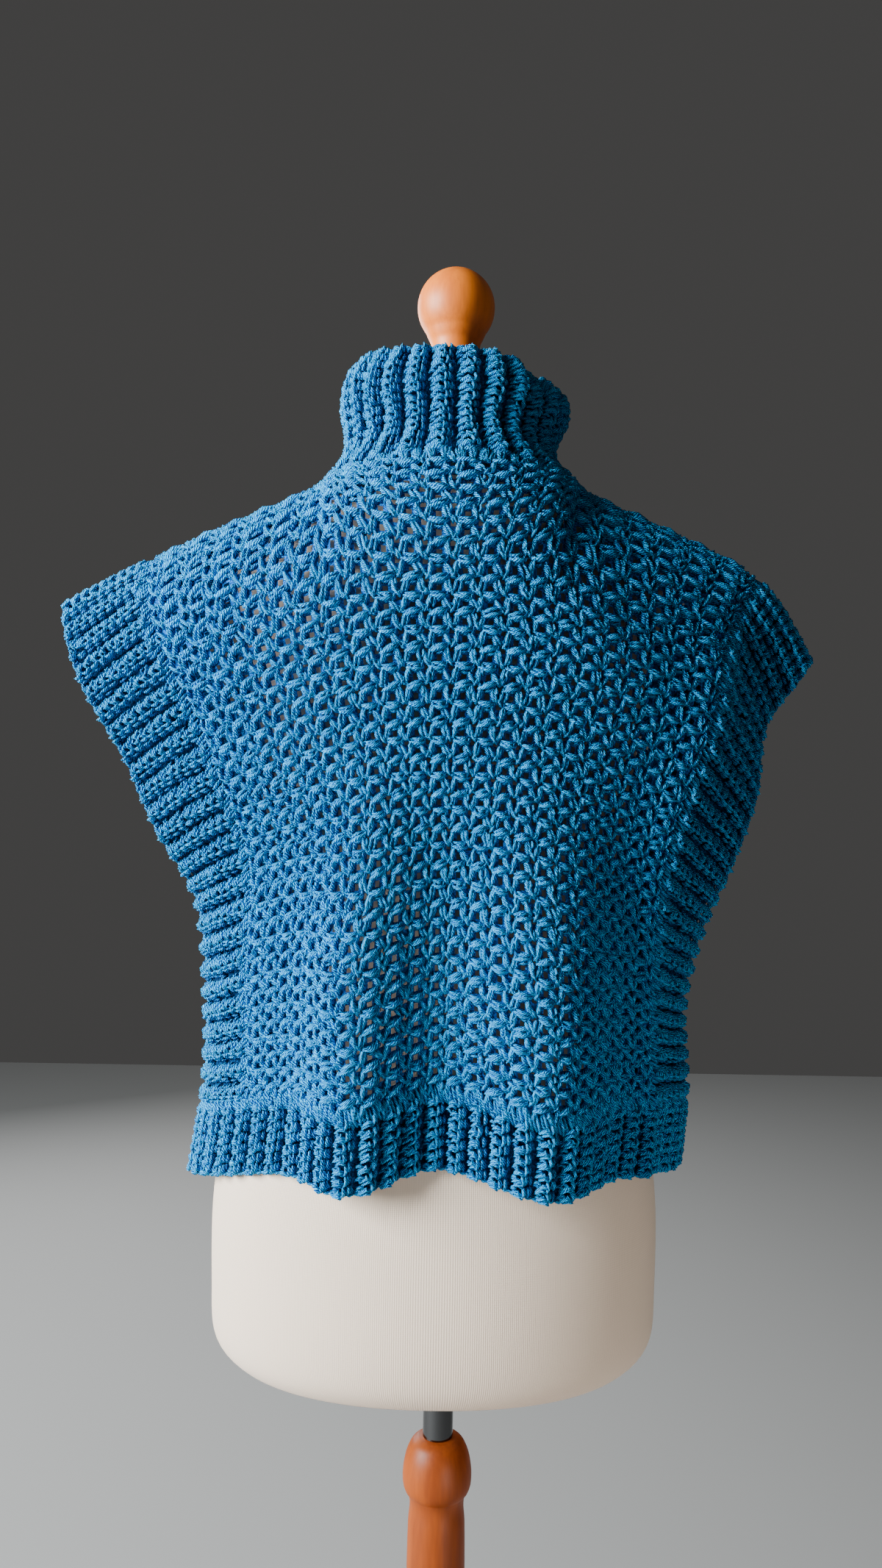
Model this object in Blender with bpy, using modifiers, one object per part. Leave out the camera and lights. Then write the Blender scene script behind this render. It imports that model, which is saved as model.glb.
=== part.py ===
"""Crocheted sweater vest on a limbless dress form with a turned wooden stand.

Metres, +Z up. The origin is the centre of the base's underside. The garment's back faces -Y,
and +X is the wearer's right. The cloth is a set of thin walls lofted along one draped surface:
two V-stitch panels, two ribbed side bands that run over the shoulders, two ribbed hem bands
and a ribbed collar. The form, its neck cap, finial, pole, column and base carry it.
"""
import math
from collections import namedtuple

import bmesh
import bpy
import numpy as np

# ---------------------------------------------------------------- driving dimensions
BUST_Z = 1.170              # height of the bust line; the garment's heights count from it
WALL = 0.0040               # cloth wall
RIB_RELIEF = 0.0032         # how far a rib stands out of the wall
COLLAR_RELIEF = 0.0038
SEAM_GAP = 0.0006           # between two sewn pieces
BAND_WIDTH = 0.078          # side band, across
HEM_ROW = 1.12              # hem's lower edge, in panel lengths below the shoulder seam
SIDE_RIBS = 26              # ribs of a side band from the shoulder to one hem
HEM_RIBS = 30               # ribs of one hem band
NECK_LEFT = 0.104           # half widths of the neck seam
NECK_RIGHT = 0.100
NECK_SIDE_Z = 0.241
SHOULDER_ROLL = 0.050       # how softly the cloth rolls over the shoulder, in panel lengths
PANEL_HALF_WIDTH = 0.200    # one unit of q along the cloth, about
PANEL_LENGTH = 0.420        # one unit of v along the cloth, about
HALF_GAP_Q = SEAM_GAP / 2 / PANEL_HALF_WIDTH
HALF_GAP_V = SEAM_GAP / 2 / PANEL_LENGTH

# Coarse columns and rows of the walls
NECK_COLUMNS = 13           # of a panel along the neck seam
SHOULDER_COLUMNS = 5        # of a panel beside the neck, on each side
PANEL_ROWS = 18
BAND_COLUMNS = 3
HEM_ROWS = 3
RIB_STEPS = 2               # steps of the wall in each rib

# ---------------------------------------------------------------- the draped surface, by rows
# One row for each course of the garment: v is its place from the shoulder seam (0) to the hem
# seam (1) and the hem edge (1.12); mid is the centre line; left and right are the outer edges.
# Heights count from BUST_Z.
Row = namedtuple("Row", "v mid_y mid_z left_x left_y left_z right_x right_y right_z")

BACK_ROWS = (
    Row(0.00, -0.078, 0.257, -0.3215, 0.0000, 0.153, 0.2985, 0.0000, 0.115),
    Row(0.05, -0.092, 0.236, -0.3190, -0.0120, 0.136, 0.2950, -0.0100, 0.099),
    Row(0.12, -0.104, 0.205, -0.3110, -0.0220, 0.106, 0.2740, -0.0180, 0.076),
    Row(0.19, -0.112, 0.167, -0.2965, -0.0310, 0.072, 0.2500, -0.0260, 0.052),
    Row(0.31, -0.117, 0.110, -0.2620, -0.0400, 0.026, 0.2480, -0.0340, 0.005),
    Row(0.45, -0.119, 0.039, -0.2340, -0.0420, -0.033, 0.2300, -0.0360, -0.050),
    Row(0.63, -0.121, -0.046, -0.1990, -0.0220, -0.098, 0.2040, -0.0200, -0.115),
    Row(0.77, -0.124, -0.117, -0.1935, -0.0063, -0.165, 0.1930, -0.0063, -0.170),
    Row(1.00, -0.121, -0.2265, -0.1945, -0.0063, -0.265, 0.1945, -0.0063, -0.254),
    Row(1.12, -0.118, -0.284, -0.2030, -0.0063, -0.320, 0.1895, -0.0063, -0.308),
)
FRONT_ROWS = (
    Row(0.00, 0.085, 0.215, -0.3215, 0.0000, 0.153, 0.2985, 0.0000, 0.115),
    Row(0.05, 0.099, 0.194, -0.3190, 0.0120, 0.136, 0.2950, 0.0100, 0.099),
    Row(0.12, 0.113, 0.166, -0.3110, 0.0230, 0.106, 0.2740, 0.0190, 0.076),
    Row(0.19, 0.125, 0.131, -0.2965, 0.0340, 0.072, 0.2500, 0.0290, 0.052),
    Row(0.31, 0.137, 0.078, -0.2620, 0.0440, 0.026, 0.2480, 0.0380, 0.005),
    Row(0.45, 0.146, 0.007, -0.2340, 0.0450, -0.033, 0.2300, 0.0400, -0.050),
    Row(0.63, 0.147, -0.078, -0.1990, 0.0140, -0.098, 0.2040, 0.0120, -0.115),
    Row(0.77, 0.145, -0.149, -0.1935, -0.0057, -0.165, 0.1930, -0.0057, -0.170),
    Row(1.00, 0.141, -0.2600, -0.1945, -0.0057, -0.265, 0.1945, -0.0057, -0.254),
    Row(1.12, 0.138, -0.318, -0.2030, -0.0057, -0.320, 0.1895, -0.0057, -0.308),
)
RIGHT_DROOP = ((0.0, 0.048), (0.12, 0.046), (0.19, 0.040), (0.31, 0.026), (0.45, 0.008),
               (0.58, 0.0), (HEM_ROW, 0.0))      # extra fall of the right sleeve, by row
DROOP_START = 0.80          # where across the row that fall begins
DROOP_POWER = 1.9
SHOULDER_RISE = 0.005       # how far the shoulder line bows up between neck and edge
NECK_Q = 0.47               # where across the panel the neck seam ends
WRAP_POWER = 1.75           # roundness of the lower rows round the sides
WRAP_ROWS = (0.36, 0.78)    # rows between which the cloth starts to wrap the sides
LEAVE_NECK_ROW = 0.26       # the row where the neck's shape has gone
FLAT_Y_POWER = 2.4          # how late a flat row turns in to its edge
FLAT_Z_POWER = 2.2
SHOULDER_BLEND = 0.16       # distance in q over which the shoulder roll sets in beside the neck
NECK_PIN_ROW = 0.35         # above this row the neck seam's end is pinned at NECK_Q

# Soft folds: centre across (q, one unit is the panel's half width), half width, height, how far
# the hem falls there, and the rows between which the fold grows to its full size.
Fold = namedtuple("Fold", "q width height sag start full")
BACK_FOLDS = (
    Fold(-0.04, 0.20, -0.010, 0.0, 0.40, 1.00),
    Fold(-0.39, 0.21, 0.022, 0.012, 0.42, 0.88),
    Fold(0.46, 0.28, 0.026, 0.013, 0.42, 0.88),
    Fold(1.02, 0.16, 0.008, 0.0, 0.10, 0.25),
)
FRONT_FOLDS = (
    Fold(0.05, 0.22, -0.012, 0.0, 0.45, 1.05),
    Fold(-0.45, 0.30, 0.012, 0.006, 0.50, 1.05),
    Fold(0.50, 0.28, 0.014, 0.008, 0.50, 1.05),
    Fold(-0.90, 0.18, -0.006, 0.0, 0.30, 0.60),
)

# Collar, ring by ring: half widths to the left and right, depths to the back and front, and
# the ring's height at the back, left, right and front.
Ring = namedtuple("Ring", "left right back front z_back z_left z_right z_front")
COLLAR_RINGS = (
    Ring(NECK_LEFT, NECK_RIGHT, 0.078, 0.085, 0.257, NECK_SIDE_Z, NECK_SIDE_Z, 0.215),
    Ring(0.0860, 0.0810, 0.0705, 0.0745, 0.276, 0.266, 0.260, 0.243),
    Ring(0.0845, 0.0790, 0.0700, 0.0740, 0.292, 0.288, 0.281, 0.268),
    Ring(0.0880, 0.0880, 0.0730, 0.0760, 0.308, 0.310, 0.302, 0.292),
    Ring(0.0840, 0.0870, 0.0715, 0.0745, 0.324, 0.330, 0.313, 0.314),
    Ring(0.0720, 0.0740, 0.0650, 0.0680, 0.339, 0.344, 0.322, 0.332),
)
COLLAR_CREASE = (math.radians(50.0), math.radians(11.0), 0.006)    # angle, half width, depth
CREASE_HEIGHTS = (0.3, 0.8)     # shares of the collar between which the crease deepens

# Torso of the form: half width, depths to the back and front, and the section's squareness.
Section = namedtuple("Section", "z half_width back front power")
TORSO = (
    Section(0.701, 0.146, 0.098, 0.090, 2.2),
    Section(0.707, 0.164, 0.110, 0.101, 2.2),
    Section(0.726, 0.1790, 0.120, 0.111, 2.2),
    Section(0.765, 0.1815, 0.123, 0.114, 2.2),
    Section(0.830, 0.1815, 0.117, 0.110, 2.2),
    Section(0.886, 0.1740, 0.107, 0.104, 2.2),
    Section(0.950, 0.1520, 0.096, 0.097, 2.2),
    Section(1.010, 0.1280, 0.090, 0.093, 2.2),
    Section(1.070, 0.1360, 0.096, 0.111, 2.2),
    Section(1.170, 0.1520, 0.108, 0.133, 2.2),
    Section(1.250, 0.1600, 0.108, 0.125, 2.2),
    Section(1.310, 0.1740, 0.105, 0.104, 2.15),
    Section(1.3505, 0.1800, 0.092, 0.082, 1.7),
    Section(1.3675, 0.1740, 0.079, 0.065, 1.6),
    Section(1.3836, 0.1480, 0.0725, 0.0490, 1.6),
    Section(1.3981, 0.1120, 0.0720, 0.0540, 1.65),
    Section(1.4112, 0.0830, 0.0660, 0.0540, 1.8),
    Section(1.425, 0.0650, 0.056, 0.054, 2.0),
    Section(1.445, 0.0580, 0.055, 0.055, 2.0),
    Section(1.470, 0.0560, 0.055, 0.055, 2.0),
)
TORSO_X = -0.006            # the hips sit a little left of the pole
TORSO_TOP_X = 1.300         # above this height the torso is on the pole's line
TORSO_LEAN = 0.350
TORSO_SIDES = 36
PART_GAP = 0.0003           # between two hard pieces that rest on each other

# Stand
BALL_RADIUS = 0.0320
BALL_Z = BUST_Z + 0.3948
STEM_RADIUS = 0.0196
CAP_RADIUS = 0.053
CAP_HEIGHT = 0.016
POLE_RADIUS = 0.0125
COLUMN_TOP = 0.630
COLUMN_RADIUS = 0.0235
BASE_RADIUS = 0.200
BASE_HEIGHT = 0.030
TURNED_STEPS = 28
BASE_STEPS = 48
CAP_ROUNDING = 0.006
BALL_END = -38              # degrees below the ball's middle where the neck takes over
STEM_PROFILE = (            # radius and height of the neck under the ball
    (0.0228, BALL_Z - 0.0252), (0.0207, BALL_Z - 0.0297), (STEM_RADIUS + 0.0003, BALL_Z - 0.0345),
    (STEM_RADIUS, BALL_Z - 0.0420), (STEM_RADIUS + 0.0004, 1.508))
STEM_FOOT = 0.0240
COLUMN_PROFILE = (          # radius and height of the turned beads and swellings, from the top
    (0.0155, COLUMN_TOP), (0.0205, 0.6265), (0.0248, 0.6190), (0.0275, 0.6090),
    (0.0285, 0.5980), (0.0276, 0.5895), (0.0262, 0.5860), (0.0240, 0.5835),
    (0.0228, 0.5790), (COLUMN_RADIUS, 0.5600), (COLUMN_RADIUS + 0.0008, 0.480),
    (COLUMN_RADIUS + 0.0018, 0.300), (COLUMN_RADIUS + 0.0018, 0.120), (0.0290, 0.100),
    (0.0340, 0.0403))
COLUMN_FOOT = 0.0340
BASE_ROUNDING = 0.012
BASE_CHAMFER = 0.006

Finish = namedtuple("Finish", "color roughness metallic")
FINISHES = {
    "yarn": Finish((0.010, 0.155, 0.300), 0.85, 0.0),
    "jersey": Finish((0.72, 0.67, 0.59), 0.80, 0.0),
    "wood": Finish((0.58, 0.20, 0.050), 0.35, 0.0),
    "chrome": Finish((0.60, 0.60, 0.60), 0.12, 1.0),
}

# ---------------------------------------------------------------- scene and materials


def clear_scene():
    for thing in list(bpy.context.scene.objects):
        bpy.data.objects.remove(thing, do_unlink=True)


def make_material(name):
    finish = FINISHES[name]
    material = bpy.data.materials.new(name)
    material.use_nodes = True
    shader = material.node_tree.nodes["Principled BSDF"]
    shader.inputs["Base Color"].default_value = (*finish.color, 1.0)
    shader.inputs["Roughness"].default_value = finish.roughness
    shader.inputs["Metallic"].default_value = finish.metallic
    return material


def add_object(name, mesh, material, collection):
    thing = bpy.data.objects.new(name, mesh)
    mesh.materials.append(material)
    collection.objects.link(thing)
    mesh.shade_smooth()
    return thing


# ---------------------------------------------------------------- curves through table values


def ease(value, start, full):
    share = np.clip((np.asarray(value, float) - start) / (full - start), 0.0, 1.0)
    return share * share * (3.0 - 2.0 * share)


def through(xs, ys, at):
    """Smooth curve through the points of a table."""
    xs = np.asarray(xs, float)
    ys = np.asarray(ys, float)
    slopes = np.gradient(ys, xs)
    low = np.clip(np.searchsorted(xs, at, side="right") - 1, 0, len(xs) - 2)
    span = xs[low + 1] - xs[low]
    part = (at - xs[low]) / span
    rest = 1.0 - part
    return (ys[low] * (1 + 2 * part) * rest ** 2 + slopes[low] * span * part * rest ** 2
            + ys[low + 1] * part ** 2 * (3 - 2 * part) - slopes[low + 1] * span * part ** 2 * rest)


def unit(vectors):
    return vectors / np.maximum(np.linalg.norm(vectors, axis=-1, keepdims=True), 1e-12)


# ---------------------------------------------------------------- the garment's surface
Q_STEPS = 64                # samples for each unit across
V_STEPS = 200               # samples from the shoulder seam to the hem edge
FAN = np.sin(np.linspace(0.0, math.pi / 2, 260))     # places across a half row, closer at the edge


def row_section(row, side, v):
    """Half of one row, from the centre line to the left (-1) or right (+1) edge."""
    edge_x = row.right_x if side > 0 else row.left_x
    edge_y = row.right_y if side > 0 else row.left_y
    edge_z = row.right_z if side > 0 else row.left_z
    droop = through(*zip(*RIGHT_DROOP), v) if side > 0 else 0.0
    line_z = edge_z + droop
    neck_fall = (NECK_SIDE_Z - row.mid_z) / (line_z - row.mid_z) if v < NECK_PIN_ROW else 0.0
    neck = neck_share(side)
    inside = np.clip(FAN / neck, 0.0, 1.0)
    outside = np.clip((FAN - neck) / (1.0 - neck), 0.0, 1.0)
    neck_y = 1.0 - np.sqrt(1.0 - inside ** 2)
    neck_z = neck_fall * inside ** 2 + (1.0 - neck_fall) * outside
    leave_neck = ease(v, 0.0, LEAVE_NECK_ROW)
    wrap = ease(v, *WRAP_ROWS)
    barrel = 1.0 - (1.0 - FAN ** WRAP_POWER) ** (1.0 / WRAP_POWER)
    bend_y = (1 - wrap) * ((1 - leave_neck) * neck_y + leave_neck * FAN ** FLAT_Y_POWER) + wrap * barrel
    bend_z = (1 - leave_neck) * neck_z + leave_neck * FAN ** FLAT_Z_POWER
    fall = droop * np.clip((FAN - DROOP_START) / (1.0 - DROOP_START), 0.0, 1.0) ** DROOP_POWER
    fall = fall - SHOULDER_RISE * (1 - leave_neck) * np.sin(math.pi * outside)
    return np.stack((edge_x * FAN,
                     row.mid_y + (edge_y - row.mid_y) * bend_y,
                     row.mid_z + (line_z - row.mid_z) * bend_z - fall), axis=1)


def neck_share(side):
    """Share of the top row's half width that the neck takes."""
    top = BACK_ROWS[0]
    return NECK_RIGHT / top.right_x if side > 0 else -NECK_LEFT / top.left_x


def spread(section, side, v, q):
    """Points of a half row at the places q: 0 to 1 is the panel, 1 to 2 the side band."""
    steps = np.linalg.norm(np.diff(section, axis=0), axis=1)
    along = np.concatenate(([0.0], np.cumsum(steps)))
    panel = along[-1] - BAND_WIDTH
    neck = float(np.interp(neck_share(side), FAN, along))
    pinned = np.interp(q, (0.0, NECK_Q, 1.0), (0.0, neck, panel))
    hold = 1.0 - float(ease(v, 0.0, NECK_PIN_ROW))
    within = q * panel * (1.0 - hold) + pinned * hold
    length = np.where(q <= 1.0, within, panel + (q - 1.0) * BAND_WIDTH)
    return np.stack([np.interp(length, along, section[:, axis]) for axis in range(3)], axis=1)


class Cloth:
    """The garment's middle surface: back is side 0, front is side 1; v runs down, q across."""

    def __init__(self):
        self.v = np.linspace(0.0, HEM_ROW, V_STEPS + 1)
        self.q = np.linspace(-2.0, 2.0, 4 * Q_STEPS + 1)
        sides = [self.rows(BACK_ROWS), self.rows(FRONT_ROWS)]
        self.round_shoulders(sides)
        self.points = [self.folded(sides[0], BACK_FOLDS, -1.0),
                       self.folded(sides[1], FRONT_FOLDS, 1.0)]
        self.normals = [self.facing(self.points[0], -1.0), self.facing(self.points[1], 1.0)]
        seam = unit(self.normals[0][0] + self.normals[1][0])
        beyond = ease(np.abs(self.q), NECK_Q - 0.06, NECK_Q - 0.01)[:, None]
        for side in (0, 1):
            blended = self.normals[side][0] * (1.0 - beyond) + seam * beyond
            self.normals[side][0] = unit(blended)

    def rows(self, table):
        columns = list(zip(*table))
        grid = np.empty((len(self.v), len(self.q), 3))
        half = self.q[self.q >= 0.0]
        for index, v in enumerate(self.v):
            row = Row(*[float(through(columns[0], column, v)) for column in columns])
            right = spread(row_section(row, 1, v), 1, v, half)
            left = spread(row_section(row, -1, v), -1, v, half)
            grid[index] = np.concatenate((left[:0:-1], right))
        grid[:, :, 2] += BUST_Z
        return grid

    def beyond_neck(self):
        """0 over the neck opening, 1 along the shoulder seams."""
        return ease(np.abs(self.q), NECK_Q, NECK_Q + SHOULDER_BLEND)

    def round_shoulders(self, sides):
        """Rolls the cloth softly over the shoulder line, where back and front meet."""
        back, front = sides
        joined = np.concatenate((back[::-1], front[1:]), axis=0)
        seam = len(self.v) - 1
        step = self.v[1]
        reach = int(2.5 * SHOULDER_ROLL / step)
        weights = np.exp(-0.5 * (np.arange(-reach, reach + 1) * step / SHOULDER_ROLL) ** 2)
        weights /= weights.sum()
        smooth = joined.copy()
        span = 4 * reach
        for index in range(seam - span, seam + span + 1):
            smooth[index] = np.tensordot(weights, joined[index - reach:index + reach + 1], axes=1)
        place = np.abs(np.arange(len(joined)) - seam) / span
        share = (1.0 - ease(place, 0.45, 1.0))[:, None, None] * self.beyond_neck()[None, :, None]
        joined = joined * (1.0 - share) + smooth * share
        back[:] = joined[:seam + 1][::-1]
        front[1:] = joined[seam + 1:]
        sewn = np.abs(self.q) >= NECK_Q
        front[0][sewn] = back[0][sewn]

    def folded(self, grid, folds, facing):
        normals = self.facing(grid, facing)
        moved = grid.copy()
        for fold in folds:
            across = np.exp(-((self.q - fold.q) / fold.width) ** 2)[None, :]
            growth = ease(self.v, fold.start, fold.full)[:, None]
            moved += normals * (fold.height * across * growth)[:, :, None]
            moved[:, :, 2] -= fold.sag * across * growth
        return moved

    def facing(self, grid, sign):
        down = np.gradient(grid, axis=0)
        across = np.gradient(grid, axis=1)
        return unit(np.cross(across, down) * sign)

    def at(self, side, v, q):
        """Points and outward normals at the places v, q (arrays of one shape)."""
        row = np.clip(np.asarray(v, float) / self.v[1], 0.0, V_STEPS - 1e-9)
        column = np.clip((np.asarray(q, float) + 2.0) * Q_STEPS, 0.0, 4 * Q_STEPS - 1e-9)
        i = row.astype(int)
        j = column.astype(int)
        a = (row - i)[..., None]
        b = (column - j)[..., None]
        found = []
        for grid in (self.points[side], self.normals[side]):
            found.append(grid[i, j] * (1 - a) * (1 - b) + grid[i + 1, j] * a * (1 - b)
                         + grid[i, j + 1] * (1 - a) * b + grid[i + 1, j + 1] * a * b)
        return found[0], unit(found[1])


# ---------------------------------------------------------------- walls


def lofted_wall(outer, inner, ring=False):
    """Closed wall between an outer and an inner sheet of points, rows by columns."""
    mesh = bpy.data.meshes.new("wall")
    bm = bmesh.new()
    skins = [[[bm.verts.new(point) for point in row] for row in skin] for skin in (outer, inner)]
    out, into = skins
    rows = len(out)
    columns = len(out[0])
    for i in range(rows - 1):
        for j in range(columns if ring else columns - 1):
            k = (j + 1) % columns
            bm.faces.new((out[i][j], out[i][k], out[i + 1][k], out[i + 1][j]))
            bm.faces.new((into[i + 1][j], into[i + 1][k], into[i][k], into[i][j]))
    rims = [[(out[0][j], into[0][j]) for j in range(columns)],
            [(into[-1][j], out[-1][j]) for j in range(columns)]]
    for rim in rims:
        for j in range(columns if ring else columns - 1):
            k = (j + 1) % columns
            bm.faces.new((rim[j][0], rim[j][1], rim[k][1], rim[k][0]))
    if not ring:
        ends = [[(into[i][0], out[i][0]) for i in range(rows)],
                [(out[i][-1], into[i][-1]) for i in range(rows)]]
        for end in ends:
            for i in range(rows - 1):
                bm.faces.new((end[i][0], end[i][1], end[i + 1][1], end[i + 1][0]))
    bmesh.ops.recalc_face_normals(bm, faces=bm.faces)
    bm.to_mesh(mesh)
    bm.free()
    return mesh


def skins(points, normals, relief=None):
    """Outer and inner points of a wall; only the outer ones carry the relief."""
    raised = np.zeros(points.shape[:2]) if relief is None else relief
    outer = points + normals * (WALL / 2 + raised)[..., None]
    return outer, points - normals * (WALL / 2)


def neck_angle_q(cloth, side, angles):
    """Places across the top row of the points at these angles round the neck."""
    top = cloth.points[side][0]
    wanted = np.where(angles > 0, NECK_RIGHT, NECK_LEFT) * np.sin(angles)
    return np.interp(wanted, top[:, 0], cloth.q)


def panel_columns(cloth, side):
    """Column places of a panel: neck columns match the collar's, the rest are even."""
    neck = neck_angle_q(cloth, side, np.linspace(-math.pi / 2, math.pi / 2, NECK_COLUMNS + 1))
    left = np.linspace(-1.0, neck[0], SHOULDER_COLUMNS + 1)[:-1]
    right = np.linspace(neck[-1], 1.0, SHOULDER_COLUMNS + 1)[1:]
    return np.concatenate((left, neck, right))


def make_panel(cloth, side):
    q = panel_columns(cloth, side)
    q[0] += HALF_GAP_Q
    q[-1] -= HALF_GAP_Q
    v = np.linspace(1.0, 0.0, PANEL_ROWS + 1)
    v[0] -= HALF_GAP_V
    v[-1] += HALF_GAP_V
    if side:
        v = v[::-1]
    points, normals = cloth.at(side, *np.meshgrid(v, q, indexing="ij"))
    top = 0 if side else -1
    neck = slice(SHOULDER_COLUMNS, SHOULDER_COLUMNS + NECK_COLUMNS + 1)
    angles = np.linspace(-math.pi / 2, math.pi / 2, NECK_COLUMNS + 1)
    if side:
        angles = math.pi - angles
    normals[top, neck] = unit(normals[top, neck] + collar_normals(angles)[0])
    return lofted_wall(*skins(points, normals))


def chord_points(cloth, side, v_list, q_list, wanted, vary):
    """Points and normals on the straight facets between the coarse places of a neighbour."""
    points, normals = cloth.at(side, np.asarray(v_list, float), np.asarray(q_list, float))
    found = []
    for values in (points, normals):
        found.append(np.stack([np.interp(wanted, vary, values[:, axis]) for axis in range(3)], 1))
    return found[0], unit(found[1])


def make_side_band(cloth, sign):
    """Ribbed band over one shoulder, from the back hem to the front hem."""
    across = np.linspace(1.0, 2.0, BAND_COLUMNS + 1)
    across[0] += SEAM_GAP / 2 / BAND_WIDTH
    if sign < 0:
        across = -across[::-1]
    steps = SIDE_RIBS * RIB_STEPS
    v = np.linspace(0.0, 1.0, steps + 1)
    v[-1] -= HALF_GAP_V
    seam_v = np.linspace(0.0, 1.0, PANEL_ROWS + 1)
    seam_column = 0 if sign > 0 else -1
    rows = []
    for side, order in ((0, slice(None, 0, -1)), (1, slice(None))):
        points, normals = cloth.at(side, *np.meshgrid(v[order], across, indexing="ij"))
        seam_q = np.full(len(seam_v), across[seam_column])
        chord = chord_points(cloth, side, seam_v, seam_q, v[order], seam_v)
        points[:, seam_column], normals[:, seam_column] = chord
        rows.append((points, normals))
    points = np.concatenate([row[0] for row in rows])
    normals = np.concatenate([row[1] for row in rows])
    wave = np.arange(len(points)) % 2
    relief = np.where(wave != steps % 2, RIB_RELIEF, 0.0)[:, None] * np.ones((1, len(across)))
    return lofted_wall(*skins(points, normals, relief))


def hem_places(cloth, side):
    """Rib places across the hem, even along the cloth, as q."""
    line = cloth.at(side, np.full(len(cloth.q), 1.0), cloth.q)[0]
    along = np.concatenate(([0.0], np.cumsum(np.linalg.norm(np.diff(line, axis=0), axis=1))))
    even = np.linspace(0.0, along[-1], HEM_RIBS * RIB_STEPS + 1)
    return np.interp(even, along, cloth.q)


def make_hem(cloth, side):
    q = hem_places(cloth, side)
    coarse = np.concatenate((-np.linspace(2.0, 1.0, BAND_COLUMNS + 1)[:-1],
                             panel_columns(cloth, side),
                             np.linspace(1.0, 2.0, BAND_COLUMNS + 1)[1:]))
    v = np.linspace(HEM_ROW, 1.0, HEM_ROWS + 1)
    v[-1] += HALF_GAP_V
    points, normals = cloth.at(side, *np.meshgrid(v, q, indexing="ij"))
    chord = chord_points(cloth, side, coarse * 0 + v[-1], coarse, q, coarse)
    points[-1], normals[-1] = chord
    relief = np.ones((len(v), 1)) * RIB_RELIEF * (np.arange(len(q)) % 2)
    if side:
        points, normals, relief = points[::-1], normals[::-1], relief[::-1]
    return lofted_wall(*skins(points, normals, relief))


# ---------------------------------------------------------------- collar


def collar_point_rows(angles):
    """Rings of points round the neck; angle 0 is the back, positive towards the right."""
    rows = []
    for ring in COLLAR_RINGS:
        sine = np.sin(angles)
        cosine = np.cos(angles)
        x = np.where(sine > 0, ring.right, ring.left) * sine
        y = -np.where(cosine > 0, ring.back, ring.front) * cosine
        side_z = np.where(sine > 0, ring.z_right, ring.z_left)
        end_z = np.where(cosine > 0, ring.z_back, ring.z_front)
        z = BUST_Z + end_z + (side_z - end_z) * sine ** 2
        rows.append(np.stack((x, y, z), axis=1))
    return np.array(rows)


def collar_normals(angles):
    """Outward normals of the collar's rings at these angles."""
    step = 1e-3
    points = collar_point_rows(angles)
    across = collar_point_rows(angles + step) - collar_point_rows(angles - step)
    up = np.gradient(points, axis=0)
    return unit(np.cross(across, up))


def make_collar(cloth):
    count = 4 * NECK_COLUMNS
    angles = -math.pi / 2 + np.arange(count) * 2 * math.pi / count
    points = collar_point_rows(angles)
    normals = collar_normals(angles)
    points[0], normals[0] = collar_seam(cloth, angles)
    points[0] += unit(points[1] - points[0]) * SEAM_GAP
    where, half_width, depth = COLLAR_CREASE
    crease = np.exp(-((angles - where) / half_width) ** 2)
    height = np.linspace(0.0, 1.0, len(points))
    relief = np.ones((len(points), 1)) * COLLAR_RELIEF * (np.arange(count) % 2)
    points -= normals * (depth * ease(height, *CREASE_HEIGHTS)[:, None] * crease)[..., None]
    return lofted_wall(*skins(points, normals, relief), ring=True)


def collar_seam(cloth, angles):
    """The neck seam as the two panels' top edges have it, facet by facet."""
    coarse = np.linspace(-math.pi / 2, math.pi / 2, NECK_COLUMNS + 1)
    points = []
    normals = []
    for side in (0, 1):
        q = neck_angle_q(cloth, side, coarse)
        edge, facing = cloth.at(side, q * 0.0, q)
        turn = coarse if side == 0 else math.pi - coarse
        facing = unit(facing + collar_normals(turn)[0])
        order = slice(None) if side == 0 else slice(None, None, -1)
        points.append(edge[order][:-1])
        normals.append(facing[order][:-1])
    points = np.concatenate(points)
    normals = np.concatenate(normals)
    place = (angles + math.pi / 2) / (2 * math.pi) * len(points)
    low = np.floor(place + 1e-9).astype(int)
    part = (place - low)[:, None]
    high = (low + 1) % len(points)
    low = low % len(points)
    return (points[low] * (1 - part) + points[high] * part,
            unit(normals[low] * (1 - part) + normals[high] * part))


# ---------------------------------------------------------------- form and stand


def make_torso():
    """Rings of one section after another, closed flat at the hips and the neck."""
    mesh = bpy.data.meshes.new("form_torso")
    bm = bmesh.new()
    angles = np.arange(TORSO_SIDES) * 2 * math.pi / TORSO_SIDES
    rings = []
    for section in TORSO:
        cosine = np.cos(angles)
        sine = np.sin(angles)
        power = 2.0 / section.power
        x = section.half_width * np.sign(cosine) * np.abs(cosine) ** power
        depth = np.where(sine > 0, section.front, section.back)
        y = depth * np.sign(sine) * np.abs(sine) ** power
        x = x + TORSO_X * ease(TORSO_TOP_X - section.z, 0.0, TORSO_LEAN)
        rings.append([bm.verts.new((px, py, section.z)) for px, py in zip(x, y)])
    for low, high in zip(rings, rings[1:]):
        for j in range(TORSO_SIDES):
            k = (j + 1) % TORSO_SIDES
            bm.faces.new((low[j], low[k], high[k], high[j]))
    bm.faces.new(rings[0][::-1])
    bm.faces.new(rings[-1])
    bm.to_mesh(mesh)
    bm.free()
    return mesh


def turned(name, profile, steps, material, collection):
    """Turned piece: the profile's (radius, height) points, top to bottom, spun round Z."""
    mesh = bpy.data.meshes.new(name)
    mesh.from_pydata([(radius, 0.0, z) for radius, z in profile],
                     [(i, i + 1) for i in range(len(profile) - 1)], [])
    thing = add_object(name, mesh, material, collection)
    screw = thing.modifiers.new("turn", "SCREW")
    screw.axis = "Z"
    screw.angle = 2 * math.pi
    screw.steps = steps
    screw.render_steps = steps
    screw.use_merge_vertices = True
    screw.merge_threshold = 0.00001
    return thing


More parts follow.
